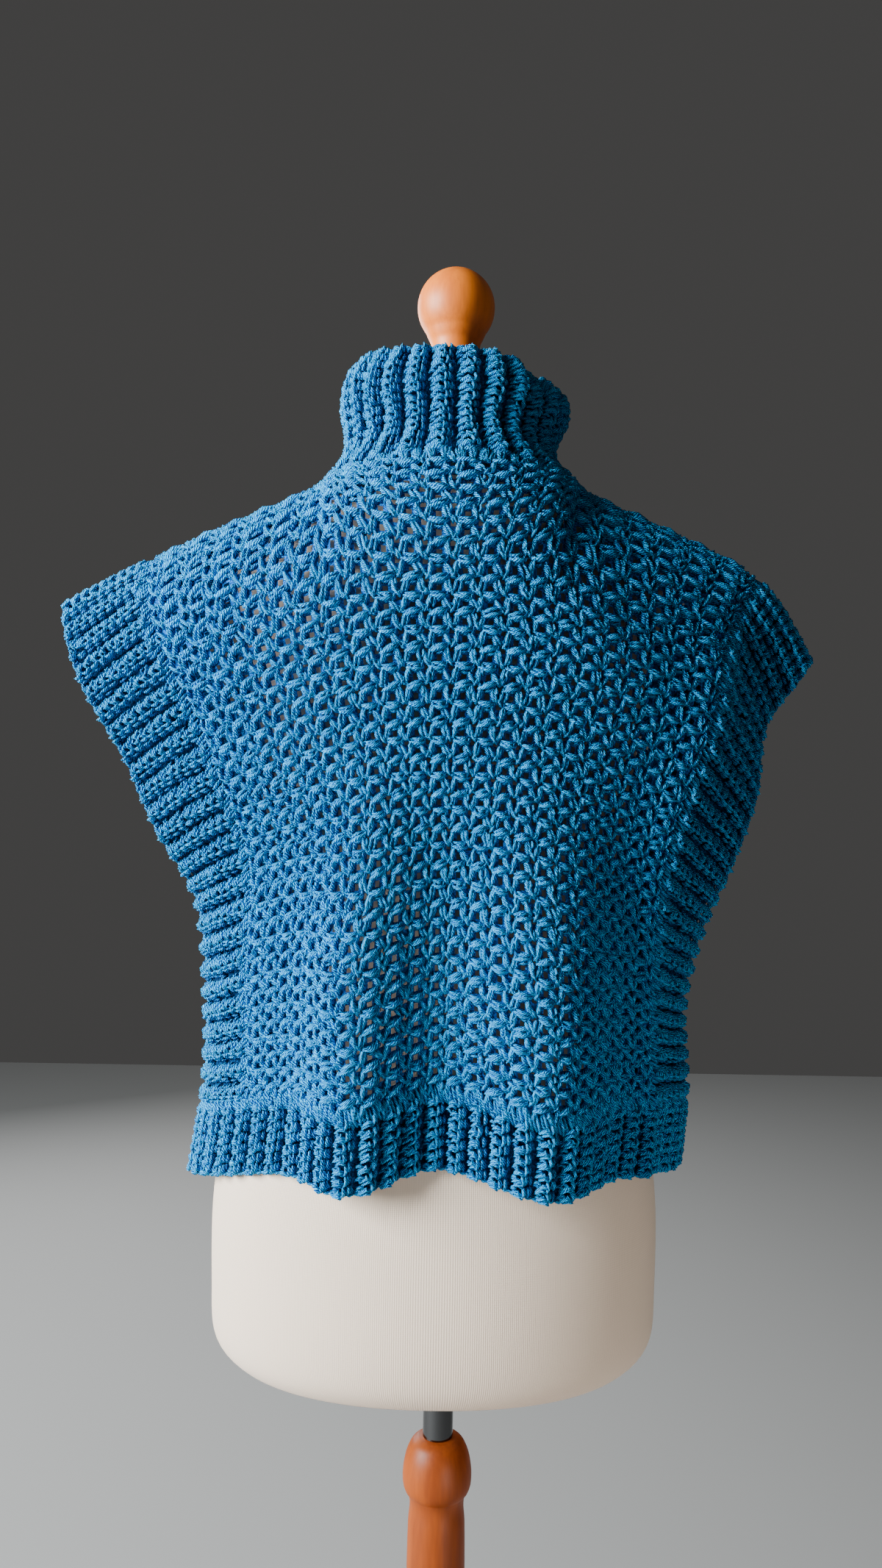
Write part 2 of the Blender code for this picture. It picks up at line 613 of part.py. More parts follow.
def arc(centre_r, centre_z, radius, start, end, count):
    """Profile points on an arc; angles in degrees from +radius towards +Z."""
    turns = np.radians(np.linspace(start, end, count))
    return [(centre_r + radius * math.cos(t), centre_z + radius * math.sin(t)) for t in turns]


def make_stand(collection, wood, chrome):
    cap_bottom = TORSO[-1].z + PART_GAP
    cap_top = cap_bottom + CAP_HEIGHT
    edge = arc(CAP_RADIUS - CAP_ROUNDING, cap_top - CAP_ROUNDING, CAP_ROUNDING, 90, 0, 4)
    turned("neck_cap", [(0.0, cap_top), *edge, (CAP_RADIUS, cap_bottom), (0.0, cap_bottom)],
           TURNED_STEPS, wood, collection)
    stem_bottom = cap_top + PART_GAP
    ball = arc(0.0, BALL_Z, BALL_RADIUS, 90, BALL_END, 10)
    ball[0] = (0.0, BALL_Z + BALL_RADIUS)
    turned("ball_finial", [*ball, *STEM_PROFILE, (STEM_FOOT, stem_bottom), (0.0, stem_bottom)],
           TURNED_STEPS, wood, collection)
    pole_top = TORSO[0].z - PART_GAP
    pole_bottom = COLUMN_TOP + PART_GAP
    turned("pole", [(0.0, pole_top), (POLE_RADIUS, pole_top), (POLE_RADIUS, pole_bottom),
                    (0.0, pole_bottom)], TURNED_STEPS, chrome, collection)
    column_bottom = BASE_HEIGHT + PART_GAP
    turned("column", [(0.0, COLUMN_TOP), *COLUMN_PROFILE, (COLUMN_FOOT, column_bottom),
                      (0.0, column_bottom)], TURNED_STEPS, wood, collection)
    edge = arc(BASE_RADIUS - BASE_ROUNDING, BASE_HEIGHT - BASE_ROUNDING, BASE_ROUNDING, 90, 0, 5)
    turned("base", [(0.0, BASE_HEIGHT), *edge, (BASE_RADIUS, BASE_CHAMFER),
                    (BASE_RADIUS - BASE_CHAMFER, 0.0), (0.0, 0.0)], BASE_STEPS, wood, collection)


def main():
    clear_scene()
    collection = bpy.data.collections.new("sweater_vest_on_dress_form")
    bpy.context.scene.collection.children.link(collection)
    materials = {name: make_material(name) for name in FINISHES}
    cloth = Cloth()
    yarn = materials["yarn"]
    add_object("back_panel", make_panel(cloth, 0), yarn, collection)
    add_object("front_panel", make_panel(cloth, 1), yarn, collection)
    add_object("side_band_left", make_side_band(cloth, -1), yarn, collection)
    add_object("side_band_right", make_side_band(cloth, 1), yarn, collection)
    add_object("back_hem", make_hem(cloth, 0), yarn, collection)
    add_object("front_hem", make_hem(cloth, 1), yarn, collection)
    add_object("collar", make_collar(cloth), yarn, collection)
    add_object("form_torso", make_torso(), materials["jersey"], collection)
    make_stand(collection, materials["wood"], materials["chrome"])


main()
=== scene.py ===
"""Looks of a crocheted sweater vest on a dress form: yarn stitches, jersey, wood and chrome.

The vest's seven pieces share one draped surface, the same as the solids have. On it lie thin
sheets of yarn fabric, and on those every stitch is made from short strands of yarn. Places on
the surface are given as v, from the shoulder seam (0) to the hem seam (1) and the hem's edge
(1.12), and q, from the centre line (0) over the panel's edge (1) to the band's edge (2).
"""
import logging
import math
from collections.abc import Callable
from dataclasses import dataclass, fields
from enum import Enum

import bmesh
import bpy
import numpy as np
from mathutils import Matrix, Vector


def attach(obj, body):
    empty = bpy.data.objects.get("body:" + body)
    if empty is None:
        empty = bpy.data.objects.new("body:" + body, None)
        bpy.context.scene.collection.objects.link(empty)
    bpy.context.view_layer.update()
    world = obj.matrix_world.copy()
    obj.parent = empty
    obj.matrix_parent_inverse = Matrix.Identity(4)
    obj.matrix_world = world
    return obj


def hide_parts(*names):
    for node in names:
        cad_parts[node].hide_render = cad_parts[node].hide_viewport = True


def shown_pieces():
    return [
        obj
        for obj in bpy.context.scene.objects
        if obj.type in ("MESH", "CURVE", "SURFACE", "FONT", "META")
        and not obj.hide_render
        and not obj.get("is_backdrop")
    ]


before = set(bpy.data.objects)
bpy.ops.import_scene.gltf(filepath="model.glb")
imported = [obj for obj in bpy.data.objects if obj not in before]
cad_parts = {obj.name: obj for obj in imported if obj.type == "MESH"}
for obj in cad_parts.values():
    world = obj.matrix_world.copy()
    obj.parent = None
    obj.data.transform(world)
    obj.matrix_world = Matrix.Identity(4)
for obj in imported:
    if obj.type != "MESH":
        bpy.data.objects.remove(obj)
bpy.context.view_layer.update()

LOG = logging.getLogger("sweater_vest")

BODY = "root"
MM = 0.001
TURN = 2.0 * math.pi

# Placed is points and outward normals, and a Place reads them at two measures of a surface.
Placed = tuple[np.ndarray, np.ndarray]
Place = Callable[[np.ndarray, np.ndarray], Placed]
Triple = tuple[float, float, float]
Colour = tuple[float, float, float, float]


# ---------------------------------------------------------------- finishes


class Slot(Enum):
    """Material slots of the record."""

    YARN = "yarn"
    JERSEY = "jersey"
    WOOD = "wood"
    CHROME = "chrome"


class NodeTree:
    """A small helper that adds and joins a material's nodes."""

    def __init__(self, name: str) -> None:
        """Starts a material with its Principled shader.

        Args:
            name: the material's name.
        """
        self.material = bpy.data.materials.new(name)
        self.material.use_nodes = True
        self.tree = self.material.node_tree
        self.shader = self.tree.nodes["Principled BSDF"]

    def add(self, kind: str, **settings: object) -> bpy.types.Node:
        """Adds a node and sets its properties.

        Args:
            kind: the node's type name.
            settings: its properties.

        Returns:
            The new node.
        """
        node = self.tree.nodes.new(kind)
        for key, value in settings.items():
            setattr(node, key, value)
        return node

    def link(self, source: bpy.types.NodeSocket, target: bpy.types.NodeSocket) -> None:
        """Joins an output to an input."""
        self.tree.links.new(source, target)

    def feed(self, socket: bpy.types.NodeSocket, value: object) -> None:
        """Sets a socket, or links it where the value is an output.

        Args:
            socket: the input.
            value: a constant or an output.
        """
        if isinstance(value, bpy.types.NodeSocket):
            self.link(value, socket)
        else:
            socket.default_value = value

    def math(self, operation: str, first: object, second: object = 0.0) -> bpy.types.NodeSocket:
        """Adds a Math node.

        Args:
            operation: Blender's name of the operation.
            first: a constant or an output.
            second: the same, for operations of two values.

        Returns:
            The node's output.
        """
        node = self.add("ShaderNodeMath", operation=operation)
        self.feed(node.inputs[0], first)
        self.feed(node.inputs[1], second)
        return node.outputs[0]

    def wave(self, value: object, length: float) -> bpy.types.NodeSocket:
        """Adds a sine wave.

        Args:
            value: the place along it.
            length: the length of a wave in the same measure.

        Returns:
            Its height, from 0 to 1.
        """
        sine = self.math("SINE", self.math("MULTIPLY", value, TURN / length))
        return self.math("ADD", self.math("MULTIPLY", sine, 0.5), 0.5)

    def ramp(self, value: object, low: float, high: float) -> bpy.types.NodeSocket:
        """Adds a soft step of a value.

        Args:
            value: the value.
            low: where the step leaves 0.
            high: where it reaches 1.

        Returns:
            The step's share.
        """
        node = self.add("ShaderNodeMapRange", interpolation_type="SMOOTHSTEP")
        self.feed(node.inputs["Value"], value)
        node.inputs["From Min"].default_value = low
        node.inputs["From Max"].default_value = high
        return node.outputs["Result"]

    def mix(self, share: object, first: object, second: object) -> bpy.types.NodeSocket:
        """Mixes two colours.

        Args:
            share: the second colour's share.
            first: the first colour.
            second: the second colour.

        Returns:
            The mixed colour.
        """
        node = self.add("ShaderNodeMix", data_type="RGBA")
        self.feed(node.inputs["Factor"], share)
        self.feed(node.inputs[6], first)
        self.feed(node.inputs[7], second)
        return node.outputs[2]

    def noise(self, scale: float, detail: float,
              stretch: Triple = (1.0, 1.0, 1.0)) -> bpy.types.NodeSocket:
        """Adds a noise pattern on the object's own coordinates.

        Args:
            scale: the pattern's scale, in cells for each metre.
            detail: its octaves.
            stretch: scale factors along the three axes.

        Returns:
            The pattern's value, from 0 to 1.
        """
        coordinates = self.add("ShaderNodeTexCoord")
        mapping = self.add("ShaderNodeMapping")
        mapping.inputs["Scale"].default_value = stretch
        pattern = self.add("ShaderNodeTexNoise")
        pattern.inputs["Scale"].default_value = scale
        pattern.inputs["Detail"].default_value = detail
        self.link(coordinates.outputs["Object"], mapping.inputs["Vector"])
        self.link(mapping.outputs["Vector"], pattern.inputs["Vector"])
        return pattern.outputs["Fac"]

    def uv(self, layer: str) -> tuple[bpy.types.NodeSocket, bpy.types.NodeSocket]:
        """Reads a UV map.

        Args:
            layer: the map's name.

        Returns:
            Its two measures.
        """
        coordinates = self.add("ShaderNodeUVMap", uv_map=layer)
        split = self.add("ShaderNodeSeparateXYZ")
        self.link(coordinates.outputs["UV"], split.inputs["Vector"])
        return split.outputs["X"], split.outputs["Y"]

    def bump(self, height: object, strength: float, distance: float) -> None:
        """Raises the surface by a height pattern.

        Args:
            height: the pattern.
            strength: share of the effect.
            distance: the relief's real height, in metres.
        """
        node = self.add("ShaderNodeBump")
        node.inputs["Strength"].default_value = strength
        node.inputs["Distance"].default_value = distance
        self.feed(node.inputs["Height"], height)
        self.link(node.outputs["Normal"], self.shader.inputs["Normal"])

    def set(self, **inputs: object) -> None:
        """Sets the shader's inputs; underscores in the names stand for spaces."""
        for key, value in inputs.items():
            self.feed(self.shader.inputs[key.replace("_", " ")], value)


@dataclass(frozen=True)
class YarnFinish:
    """Plied chunky yarn: streaks run round each strand, as its plies do, with painted shade in the
    grooves between plies and a painted highlight on their crests.
    """

    name: str = "yarn"
    # groove is painted shade between the plies, crest a painted highlight on them; ply is the yarn's
    # own colour.
    groove_painted_shade: Colour = (0.000, 0.036, 0.150, 1.0)
    ply: Colour = (0.000, 0.250, 0.860, 1.0)
    crest_painted_highlight: Colour = (0.010, 0.620, 1.000, 1.0)
    plies: int = 5
    lay: float = 2.5
    loose_scale: float = 360.0
    wander: float = 1.6
    fibre_scale: float = 1500.0
    fibre_share: float = 0.6
    relief: float = 0.8 * MM

    def material(self) -> bpy.types.Material:
        """Builds the material; its UV map holds millimetres along and turns round a strand.

        Returns:
            The material.
        """
        nodes = NodeTree(self.name)
        length, round_turns = nodes.uv("strand")
        loose = nodes.noise(self.loose_scale, 2.0)
        fibre = nodes.noise(self.fibre_scale, 2.0)
        along = nodes.math("DIVIDE", length, self.lay)
        around = nodes.math("MULTIPLY", round_turns, float(self.plies))
        wander = nodes.math("MULTIPLY", nodes.math("SUBTRACT", loose, 0.5), self.wander)
        turn = nodes.math("ADD", nodes.math("ADD", along, around), wander)
        streak = nodes.wave(turn, 1.0)
        tone = nodes.add("ShaderNodeAttribute", attribute_name="tone")
        uneven = nodes.math("MULTIPLY", nodes.math("SUBTRACT", fibre, 0.5), self.fibre_share)
        lifted = nodes.math("ADD", nodes.math("ADD", streak, tone.outputs["Fac"]), uneven)
        # The ramps put painted shade in the grooves and a painted highlight on the crests, read from
        # the streaks, the strands' tone and the fibre noise.
        body = nodes.mix(nodes.ramp(lifted, 0.05, 0.50), self.groove_painted_shade, self.ply)
        nodes.set(Base_Color=nodes.mix(nodes.ramp(lifted, 0.45, 1.00), body, self.crest_painted_highlight),
                  Roughness=0.85, Specular_IOR_Level=0.15)
        height = nodes.math("ADD", streak, nodes.math("MULTIPLY", fibre, 0.5))
        nodes.bump(height, 0.9, self.relief)
        return nodes.material


@dataclass(frozen=True)
class UnderYarnFinish:
    """The yarn behind the stitches: bright between a panel's stitches, dark between ribs as painted
    shade; its deep colour is painted shade in the hollows between loops.
    """

    name: str = "yarn_behind_painted_shade"
    # deep is painted shade in the hollows between loops.
    deep: Colour = (0.000, 0.060, 0.240, 1.0)
    lit: Colour = (0.000, 0.230, 0.820, 1.0)
    loop_scale: float = 520.0
    relief: float = 1.5 * MM

    def material(self) -> bpy.types.Material:
        """Builds the material from a noise as fine as the loops.

        Returns:
            The material.
        """
        nodes = NodeTree(self.name)
        loops = nodes.ramp(nodes.noise(self.loop_scale, 2.0), 0.35, 0.65)
        nodes.set(Base_Color=nodes.mix(loops, self.deep, self.lit), Roughness=0.95,
                  Specular_IOR_Level=0.15)
        nodes.bump(loops, 0.8, self.relief)
        return nodes.material


@dataclass(frozen=True)
class JerseyFinish:
    """Fine cream jersey, its wales running up the form."""

    name: str = "jersey"
    pale: Colour = (0.900, 0.715, 0.565, 1.0)
    shade: Colour = (0.810, 0.640, 0.495, 1.0)
    wale: float = 1.25
    course: float = 1.0
    course_share: float = 0.25
    cloud_scale: float = 9.0
    relief: float = 0.3 * MM

    def material(self) -> bpy.types.Material:
        """Builds the material; its UV map is in millimetres on the form.

        Returns:
            The material.
        """
        nodes = NodeTree(self.name)
        around, up = nodes.uv("cloth")
        rib = nodes.wave(around, self.wale)
        courses = nodes.math("SINE", nodes.math("MULTIPLY", up, TURN / self.course))
        knit = nodes.math("ADD", rib, nodes.math("MULTIPLY", courses, self.course_share))
        clouds = nodes.noise(self.cloud_scale, 3.0)
        colour = nodes.mix(nodes.math("MULTIPLY", nodes.math("ADD", rib, clouds), 0.5),
                           self.shade, self.pale)
        nodes.set(Base_Color=colour, Roughness=0.85, Sheen_Weight=0.12, Specular_IOR_Level=0.2)
        nodes.bump(knit, 0.35, self.relief)
        return nodes.material


@dataclass(frozen=True)
class WoodFinish:
    """Turned beech under an orange stain and gloss varnish."""

    name: str = "wood"
    early: Colour = (0.950, 0.225, 0.012, 1.0)
    late: Colour = (0.680, 0.140, 0.008, 1.0)
    gloss: float = 0.06
    grain_scale: float = 70.0
    fleck_scale: float = 420.0
    relief: float = 0.2 * MM

    def material(self) -> bpy.types.Material:
        """Builds the material with its grain along the turning axis.

        Returns:
            The material.
        """
        nodes = NodeTree(self.name)
        grain = nodes.noise(self.grain_scale, 4.0, (1.0, 1.0, 0.06))
        flecks = nodes.noise(self.fleck_scale, 2.0, (1.0, 1.0, 0.10))
        share = nodes.math("ADD", nodes.math("MULTIPLY", grain, 0.75),
                           nodes.math("MULTIPLY", flecks, 0.25))
        nodes.set(Base_Color=nodes.mix(nodes.ramp(share, 0.30, 0.70), self.late, self.early),
                  Roughness=0.48, Coat_Weight=self.gloss, Coat_Roughness=0.30,
                  Specular_IOR_Level=0.25 + 4.0 * self.gloss)
        nodes.bump(flecks, 0.12, self.relief)
        return nodes.material


@dataclass(frozen=True)
class ChromeFinish:
    """Polished chromed tube; its dark base colour is a painted reflection of a dark room."""

    name: str = "chrome"
    # A dark colour: painted reflection of a dark room.
    color: Colour = (0.11, 0.11, 0.112, 1.0)
    roughness: float = 0.07
    mark_scale: float = 300.0
    mark_roughness: float = 0.08

    def material(self) -> bpy.types.Material:
        """Builds the material with faint drawing marks.

        Returns:
            The material.
        """
        nodes = NodeTree(self.name)
        marks = nodes.noise(self.mark_scale, 2.0, (1.0, 1.0, 0.02))
        rough = nodes.math("MULTIPLY", marks, self.mark_roughness)
        nodes.set(Base_Color=self.color, Metallic=1.0,
                  Roughness=nodes.math("ADD", rough, self.roughness))
        return nodes.material


# ---------------------------------------------------------------- curves through table values


def ease(value: object, start: float, full: float) -> np.ndarray:
    """Soft step.

    Args:
        value: where to read it.
        start: where it leaves 0.
        full: where it reaches 1.

    Returns:
        Shares from 0 to 1.
    """
    share = np.clip((np.asarray(value, float) - start) / (full - start), 0.0, 1.0)
    return share * share * (3.0 - 2.0 * share)


def through(xs: object, ys: object, at: object) -> np.ndarray:
    """Smooth curve through the points of a table.

    Args:
        xs: the table's places, rising.
        ys: its values.
        at: where to read the curve.

    Returns:
        The curve's values.
    """
    xs = np.asarray(xs, float)
    ys = np.asarray(ys, float)
    slopes = np.gradient(ys, xs)
    low = np.clip(np.searchsorted(xs, at, side="right") - 1, 0, len(xs) - 2)
    span = xs[low + 1] - xs[low]
    part = (at - xs[low]) / span
    rest = 1.0 - part
    return (ys[low] * (1 + 2 * part) * rest ** 2 + slopes[low] * span * part * rest ** 2
            + ys[low + 1] * part ** 2 * (3 - 2 * part) - slopes[low + 1] * span * part ** 2 * rest)


def unit(vectors: np.ndarray) -> np.ndarray:
    """Vectors of length 1."""
    return vectors / np.maximum(np.linalg.norm(vectors, axis=-1, keepdims=True), 1e-12)


def travel(line: np.ndarray) -> np.ndarray:
    """Lengths along lines of points, each from 0 at its first point."""
    steps = np.linalg.norm(np.diff(line, axis=-2), axis=-1)
    return np.concatenate((np.zeros_like(steps[..., :1]), np.cumsum(steps, axis=-1)), axis=-1)


def read_table(table: tuple[object, ...], at: object, places: object = None) -> dict[str, object]:
    """Reads every field of a table's entries, smoothly between them.

    Args:
        table: the entries, all of one dataclass.
        at: where to read them.
        places: the entries' own places; without them, their indexes.

    Returns:
        The values of each field, by its name.
    """
    places = range(len(table)) if places is None else places
    return {field.name: through(places, [getattr(entry, field.name) for entry in table], at)
            for field in fields(table[0])}


def grid_read(grid: np.ndarray, row: np.ndarray, column: np.ndarray) -> np.ndarray:
    """Reads a grid of vectors between its samples.

    Args:
        grid: rows by columns by 3.
        row: row places, as fractional indexes.
        column: column places.

    Returns:
        The vectors there.
    """
    row = np.clip(row, 0.0, grid.shape[0] - 1 - 1e-9)
    column = np.clip(column, 0.0, grid.shape[1] - 1 - 1e-9)
    i = row.astype(int)
    j = column.astype(int)
    a = (row - i)[..., None]
    b = (column - j)[..., None]
    return (grid[i, j] * (1 - a) * (1 - b) + grid[i + 1, j] * a * (1 - b)
            + grid[i, j + 1] * (1 - a) * b + grid[i + 1, j + 1] * a * b)


# ---------------------------------------------------------------- the garment's surface


class Side(Enum):
    """The two halves of the garment; the value is the sign of their outward Y."""

    BACK = -1
    FRONT = 1


@dataclass(frozen=True)
class Row:
    """One course of the draped surface: its centre line and its two outer edges."""

    v: float
    mid_y: float
    mid_z: float
    left_x: float
    left_y: float
    left_z: float
    right_x: float
    right_y: float
    right_z: float


@dataclass(frozen=True)
class Fold:
    """A soft fold that grows towards the hem."""

    q: float
    width: float
    height: float
    sag: float
    start: float
    full: float


@dataclass(frozen=True)
class Ring:
    """One ring of the collar."""

    left: float
    right: float
    back: float
    front: float
    z_back: float
    z_left: float
    z_right: float
    z_front: float


BUST_Z = 1.170
BAND_WIDTH = 0.078
HEM_ROW = 1.12
NECK_LEFT = 0.104
NECK_RIGHT = 0.100
NECK_SIDE_Z = 0.241
NECK_Q = 0.47

ROWS = {
    Side.BACK: (
        Row(0.00, -0.078, 0.257, -0.3215, 0.0000, 0.153, 0.2985, 0.0000, 0.115),
        Row(0.05, -0.092, 0.236, -0.3190, -0.0120, 0.136, 0.2950, -0.0100, 0.099),
        Row(0.12, -0.104, 0.205, -0.3110, -0.0220, 0.106, 0.2740, -0.0180, 0.076),
        Row(0.19, -0.112, 0.167, -0.2965, -0.0310, 0.072, 0.2500, -0.0260, 0.052),
        Row(0.31, -0.117, 0.110, -0.2620, -0.0400, 0.026, 0.2480, -0.0340, 0.005),
        Row(0.45, -0.119, 0.039, -0.2340, -0.0420, -0.033, 0.2300, -0.0360, -0.050),
        Row(0.63, -0.121, -0.046, -0.1990, -0.0220, -0.098, 0.2040, -0.0200, -0.115),
        Row(0.77, -0.124, -0.117, -0.1935, -0.0063, -0.165, 0.1930, -0.0063, -0.170),
        Row(1.00, -0.121, -0.2265, -0.1945, -0.0063, -0.265, 0.1945, -0.0063, -0.254),
        Row(1.12, -0.118, -0.284, -0.2030, -0.0063, -0.320, 0.1895, -0.0063, -0.308),
    ),
    Side.FRONT: (
        Row(0.00, 0.085, 0.215, -0.3215, 0.0000, 0.153, 0.2985, 0.0000, 0.115),
        Row(0.05, 0.099, 0.194, -0.3190, 0.0120, 0.136, 0.2950, 0.0100, 0.099),
        Row(0.12, 0.113, 0.166, -0.3110, 0.0230, 0.106, 0.2740, 0.0190, 0.076),
        Row(0.19, 0.125, 0.131, -0.2965, 0.0340, 0.072, 0.2500, 0.0290, 0.052),
        Row(0.31, 0.137, 0.078, -0.2620, 0.0440, 0.026, 0.2480, 0.0380, 0.005),
        Row(0.45, 0.146, 0.007, -0.2340, 0.0450, -0.033, 0.2300, 0.0400, -0.050),
        Row(0.63, 0.147, -0.078, -0.1990, 0.0140, -0.098, 0.2040, 0.0120, -0.115),
        Row(0.77, 0.145, -0.149, -0.1935, -0.0057, -0.165, 0.1930, -0.0057, -0.170),
        Row(1.00, 0.141, -0.2600, -0.1945, -0.0057, -0.265, 0.1945, -0.0057, -0.254),
        Row(1.12, 0.138, -0.318, -0.2030, -0.0057, -0.320, 0.1895, -0.0057, -0.308),
    ),
}
RIGHT_DROOP = ((0.0, 0.048), (0.12, 0.046), (0.19, 0.040), (0.31, 0.026), (0.45, 0.008),
               (0.58, 0.0), (HEM_ROW, 0.0))
FOLDS = {
    Side.BACK: (
        Fold(-0.04, 0.20, -0.010, 0.0, 0.40, 1.00),
        Fold(-0.39, 0.21, 0.022, 0.012, 0.42, 0.88),
        Fold(0.46, 0.28, 0.026, 0.013, 0.42, 0.88),
        Fold(1.02, 0.16, 0.008, 0.0, 0.10, 0.25),
    ),
    Side.FRONT: (
        Fold(0.05, 0.22, -0.012, 0.0, 0.45, 1.05),
        Fold(-0.45, 0.30, 0.012, 0.006, 0.50, 1.05),
        Fold(0.50, 0.28, 0.014, 0.008, 0.50, 1.05),
        Fold(-0.90, 0.18, -0.006, 0.0, 0.30, 0.60),
    ),
}
COLLAR_RINGS = (
    Ring(NECK_LEFT, NECK_RIGHT, 0.078, 0.085, 0.257, NECK_SIDE_Z, NECK_SIDE_Z, 0.215),
    Ring(0.0860, 0.0810, 0.0705, 0.0745, 0.276, 0.266, 0.260, 0.243),
    Ring(0.0845, 0.0790, 0.0700, 0.0740, 0.292, 0.288, 0.281, 0.268),
    Ring(0.0880, 0.0880, 0.0730, 0.0760, 0.308, 0.310, 0.302, 0.292),
    Ring(0.0840, 0.0870, 0.0715, 0.0745, 0.324, 0.330, 0.313, 0.314),
    Ring(0.0720, 0.0740, 0.0650, 0.0680, 0.339, 0.344, 0.322, 0.332),
)


@dataclass
class DrapedCloth:
    """The garment's middle surface, back and front, worked out from its rows and folds."""

    droop_start: float = 0.80
    droop_power: float = 1.9
    shoulder_rise: float = 0.005
    shoulder_roll: float = 0.050
    shoulder_reach: float = 2.5
    shoulder_span: int = 4
    shoulder_fade: float = 0.45
    shoulder_blend: float = 0.16
    neck_blend: tuple[float, float] = (0.06, 0.01)
    wrap_power: float = 1.75
    wrap_rows: tuple[float, float] = (0.36, 0.78)
    leave_neck_row: float = 0.26
    neck_pin_row: float = 0.35
    flat_y_power: float = 2.4
    flat_z_power: float = 2.2
    q_steps: int = 64
    v_steps: int = 200
    fan_steps: int = 260
    arc_steps: int = 400

    def __post_init__(self) -> None:
        """Samples both sides, rolls the shoulders, and adds the folds."""
        self.fan = np.sin(np.linspace(0.0, math.pi / 2, self.fan_steps))
        self.v = np.linspace(0.0, HEM_ROW, self.v_steps + 1)
        self.q = np.linspace(-2.0, 2.0, 4 * self.q_steps + 1)
        flat = {side: self.rows(ROWS[side]) for side in Side}
        self.round_shoulders(flat)
        self.points = {side: self.folded(flat[side], side) for side in Side}
        self.normals = {side: self.facing(self.points[side], side) for side in Side}
        seam = unit(self.normals[Side.BACK][0] + self.normals[Side.FRONT][0])
        start, full = (NECK_Q - blend for blend in self.neck_blend)
        beyond = ease(np.abs(self.q), start, full)[:, None]
        for side in Side:
            top = self.normals[side][0]
            self.normals[side][0] = unit(top * (1.0 - beyond) + seam * beyond)

    def neck_share(self, right: bool) -> float:
        """Share of the top row's half width that the neck takes."""
        top = ROWS[Side.BACK][0]
        return NECK_RIGHT / top.right_x if right else -NECK_LEFT / top.left_x

    def half_row(self, row: Row, right: bool) -> np.ndarray:
        """Half of one row, from the centre line to an edge.

        Args:
            row: the course.
            right: which half.

        Returns:
            Points along it.
        """
        edge_x = row.right_x if right else row.left_x
        edge_y = row.right_y if right else row.left_y
        edge_z = row.right_z if right else row.left_z
        fan = self.fan
        droop = float(through(*zip(*RIGHT_DROOP), row.v)) if right else 0.0
        line_z = edge_z + droop
        pinned = row.v < self.neck_pin_row
        neck_fall = (NECK_SIDE_Z - row.mid_z) / (line_z - row.mid_z) if pinned else 0.0
        neck = self.neck_share(right)
        inside = np.clip(fan / neck, 0.0, 1.0)
        outside = np.clip((fan - neck) / (1.0 - neck), 0.0, 1.0)
        neck_y = 1.0 - np.sqrt(1.0 - inside ** 2)
        neck_z = neck_fall * inside ** 2 + (1.0 - neck_fall) * outside
        leave = ease(row.v, 0.0, self.leave_neck_row)
        wrap = ease(row.v, *self.wrap_rows)
        barrel = 1.0 - (1.0 - fan ** self.wrap_power) ** (1.0 / self.wrap_power)
        open_y = (1 - leave) * neck_y + leave * fan ** self.flat_y_power
        bend_y = (1 - wrap) * open_y + wrap * barrel
        bend_z = (1 - leave) * neck_z + leave * fan ** self.flat_z_power
        beyond = np.clip((fan - self.droop_start) / (1.0 - self.droop_start), 0.0, 1.0)
        fall = droop * beyond ** self.droop_power
        fall = fall - self.shoulder_rise * (1 - leave) * np.sin(math.pi * outside)
        return np.stack((edge_x * fan,
                         row.mid_y + (edge_y - row.mid_y) * bend_y,
                         row.mid_z + (line_z - row.mid_z) * bend_z - fall), axis=1)

    def spread(self, section: np.ndarray, right: bool, v: float, q: np.ndarray) -> np.ndarray:
        """Points of a half row at places across it.

        Args:
            section: the half row's points.
            right: which half.
            v: the row's place.
            q: 0 to 1 is the panel, 1 to 2 the side band.

        Returns:
            The points.
        """
        along = travel(section)
        panel = along[-1] - BAND_WIDTH
        neck = float(np.interp(self.neck_share(right), self.fan, along))
        pinned = np.interp(q, (0.0, NECK_Q, 1.0), (0.0, neck, panel))
        hold = 1.0 - float(ease(v, 0.0, self.neck_pin_row))
        within = q * panel * (1.0 - hold) + pinned * hold
        length = np.where(q <= 1.0, within, panel + (q - 1.0) * BAND_WIDTH)
        return np.stack([np.interp(length, along, section[:, axis]) for axis in range(3)], axis=1)

    def rows(self, table: tuple[Row, ...]) -> np.ndarray:
        """Samples every row of one side.

        Args:
            table: that side's rows.

        Returns:
            A grid of points, rows by columns.
        """
        places = [row.v for row in table]
        grid = np.empty((len(self.v), len(self.q), 3))
        half = self.q[self.q >= 0.0]
        for index, v in enumerate(self.v):
            row = Row(**read_table(table, v, places))
            right = self.spread(self.half_row(row, True), True, v, half)
            left = self.spread(self.half_row(row, False), False, v, half)
            grid[index] = np.concatenate((left[:0:-1], right))
        grid[:, :, 2] += BUST_Z
        return grid

